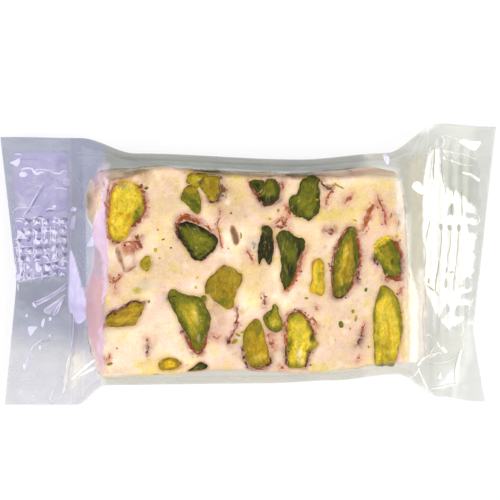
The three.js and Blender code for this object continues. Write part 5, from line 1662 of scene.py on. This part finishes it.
def clad_kernel(kernels, skins, face, heart, rim, place, length, width, turn, rng):
    """Adds a kernel to a face, with its skin left on about half of its rim."""
    outline = egg(*place, length, width, turn, rng.uniform(0.05, 0.3))
    seed = rng.integers(1, 90)
    kernel(kernels, outline, heart, rim, rng.uniform(0.5, 0.8), face, seed)
    around = np.roll(closed_curve(outline, RIM_STEPS), -rng.integers(RIM_STEPS), axis=0)
    path = (around[:RIM_STEPS // 2 + 1:SKIN_STEP] - place) * SKIN_REACH + place
    strip(skins, path, rng.uniform(0.4, 0.7), ("brick", "rust", "wine")[rng.integers(3)], face, seed)


def shred(skins, face, half, rng):
    """Adds a short bent shred of skin somewhere within half's reach of the middle of a face."""
    middle = rng.uniform(-1, 1, 2) * half
    turn, reach = rng.uniform(0, 2 * np.pi), rng.uniform(0.6, 1.6)
    step = reach * np.array([np.cos(turn), np.sin(turn)])
    bend = 0.3 * np.array([-step[1], step[0]])
    path = [middle - step, middle + bend, middle + step]
    width, tone = rng.uniform(0.3, 0.7), ("rust", "brick", "plum")[rng.integers(3)]
    strip(skins, path, width, tone, face, rng.integers(1, 90))


def dress_sides(kernels, skins, rng):
    """Adds the kernels and shreds of the four sides, and scatters more over the underside, on a
    jittered grid."""
    for face, listed in SIDE_KERNELS.items():
        for heart, rim, along_face, above, *oval in listed:
            clad_kernel(kernels, skins, face, heart, rim, np.array([along_face, above]), *oval, rng)
        half = np.array([29.0 if face in ("far", "near") else 17.0, 1.4])
        for _ in range(2 * len(listed)):
            shred(skins, face, half, rng)
    for cell in np.ndindex(*UNDERSIDE_COUNT):
        place = (2 * np.array(cell) + 1) / UNDERSIDE_COUNT - 1
        place = place * UNDERSIDE_HALF + rng.uniform(-1, 1, 2) * (2.2, 1.6)
        heart, rim = FACE_TONES[rng.integers(len(FACE_TONES))]
        length, width = rng.uniform(6, 10), rng.uniform(4.0, 5.8)
        clad_kernel(kernels, skins, "under", heart, rim, place, length, width, rng.uniform(0, 180), rng)
        shred(skins, "under", UNDERSIDE_HALF, rng)


# ---------------------------------------------------------------- building

kernels, skins = Parts(), Parts()
for number, (heart, rim, share, outline) in enumerate(KERNELS):
    kernel(kernels, outline, heart, rim, share, "top", number, KERNEL_STAINS)
for number, (tone, *oval) in enumerate(CRUMBS):
    crumb(kernels, *oval, tone, "top", number)
for number, (tone, width, path) in enumerate(SKINS):
    strip(skins, path, width, tone, "top", number)
dress_sides(kernels, skins, np.random.default_rng(8))

nougat_bar(nougat_finish())
kernels.mesh("pistachio_kernels", kernel_finish(), "pistachio")
skins.mesh("kernel_skins", skin_finish(), "pistachio_skin")
clear_film = film_finish()
film_folds(clear_film)
film = film_wrap(clear_film)
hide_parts(PACK_NODE)


# ---------------------------------------------------------------- floor, lights and camera


FLOOR_HALF = 3.0  # metres


def floor():
    """A flat square that the pack lies on."""
    corners = [(FLOOR_HALF * x, FLOOR_HALF * y, 0) for x, y in ((-1, -1), (1, -1), (1, 1), (-1, 1))]
    mesh = bpy.data.meshes.new("floor")
    mesh.from_pydata(corners, [], [(0, 1, 2, 3)])
    mesh.materials.append(floor_finish())
    made = bpy.data.objects.new("floor", mesh)
    bpy.context.collection.objects.link(made)
    made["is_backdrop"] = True


# The studio: how bright its walls and ceiling are, and its soft boxes, as the way to each, its
# radiance, its colour, and the angles from its middle at which it starts to fade and has faded.
WALL_STRENGTH, CEILING_STRENGTH = 1.0, 0.06
SOFT_BOXES = [
    ((0.62, -0.36, 1.0), 4.22, (1.0, 0.985, 0.95), 7, 24),
    ((-0.42, 0.15, 1.0), 1.5, (0.80, 0.80, 1.0), 5, 18),
    ((-0.2, -1.2, 0.8), 0.3, (1.0, 0.97, 0.94), 10, 40),
    ((-1.0, 0.05, 0.35), 2.0, (0.93, 0.90, 1.0), 12, 40),
    ((1.0, -0.2, 0.35), 2.0, (1.0, 0.98, 0.93), 12, 40),
]


def studio():
    """Light from all round: pale walls, a dark ceiling, and a smooth round glow for each soft box."""
    world = bpy.data.worlds.new("studio")
    world.use_nodes = True
    r = Recipe(world.node_tree)
    way = r.node("ShaderNodeTexCoord", output="Generated")
    height = r.node("ShaderNodeSeparateXYZ", None, {"Vector": way}, output="Z")
    strength = WALL_STRENGTH - height.between(0.55, 0.97) * (WALL_STRENGTH - CEILING_STRENGTH)
    light = r.node("ShaderNodeVectorMath", {"operation": "SCALE"}, {0: (0.95, 0.97, 1.0), "Scale": strength})
    for toward, radiance, colour, full, faded in SOFT_BOXES:
        sockets = {0: way, 1: Vector(toward).normalized()}
        facing = r.node("ShaderNodeVectorMath", {"operation": "DOT_PRODUCT"}, sockets, output="Value")
        glow = facing.between(np.cos(np.radians(faded)), np.cos(np.radians(full)))
        lamp = r.node("ShaderNodeVectorMath", {"operation": "SCALE"}, {0: colour, "Scale": glow * radiance})
        light = r.node("ShaderNodeVectorMath", {"operation": "ADD"}, {0: light, 1: lamp})
    r.feed(r.tree.nodes["Background"].inputs["Color"], light)
    bpy.context.scene.world = world


floor()
studio()
bpy.context.scene.view_settings.view_transform = "Standard"

CAMERA_DISTANCE = 900.0
CAMERA_WAY = Vector((-0.058, 0.045, 1.0))
FRAME_WIDTH = 110.0  # across the picture, at the height of the cut face
AIM = Vector((-1.54, 5.06, BAR_TOP))

away = CAMERA_WAY.normalized()
right = Vector((0, 1, 0)).cross(away).normalized()
camera_data = bpy.data.cameras.new("camera")
camera_data.lens = camera_data.sensor_width * CAMERA_DISTANCE / FRAME_WIDTH
camera = bpy.data.objects.new("camera", camera_data)
bpy.context.collection.objects.link(camera)
camera.matrix_world = Matrix((right, away.cross(right), away)).transposed().to_4x4()
camera.location = (AIM + away * CAMERA_DISTANCE) * MM
bpy.context.scene.camera = camera

size = {"cad_box": cad_box, "visual_box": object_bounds()}
{name: [list(map(float, corner)) for corner in box] for name, box in size.items()}
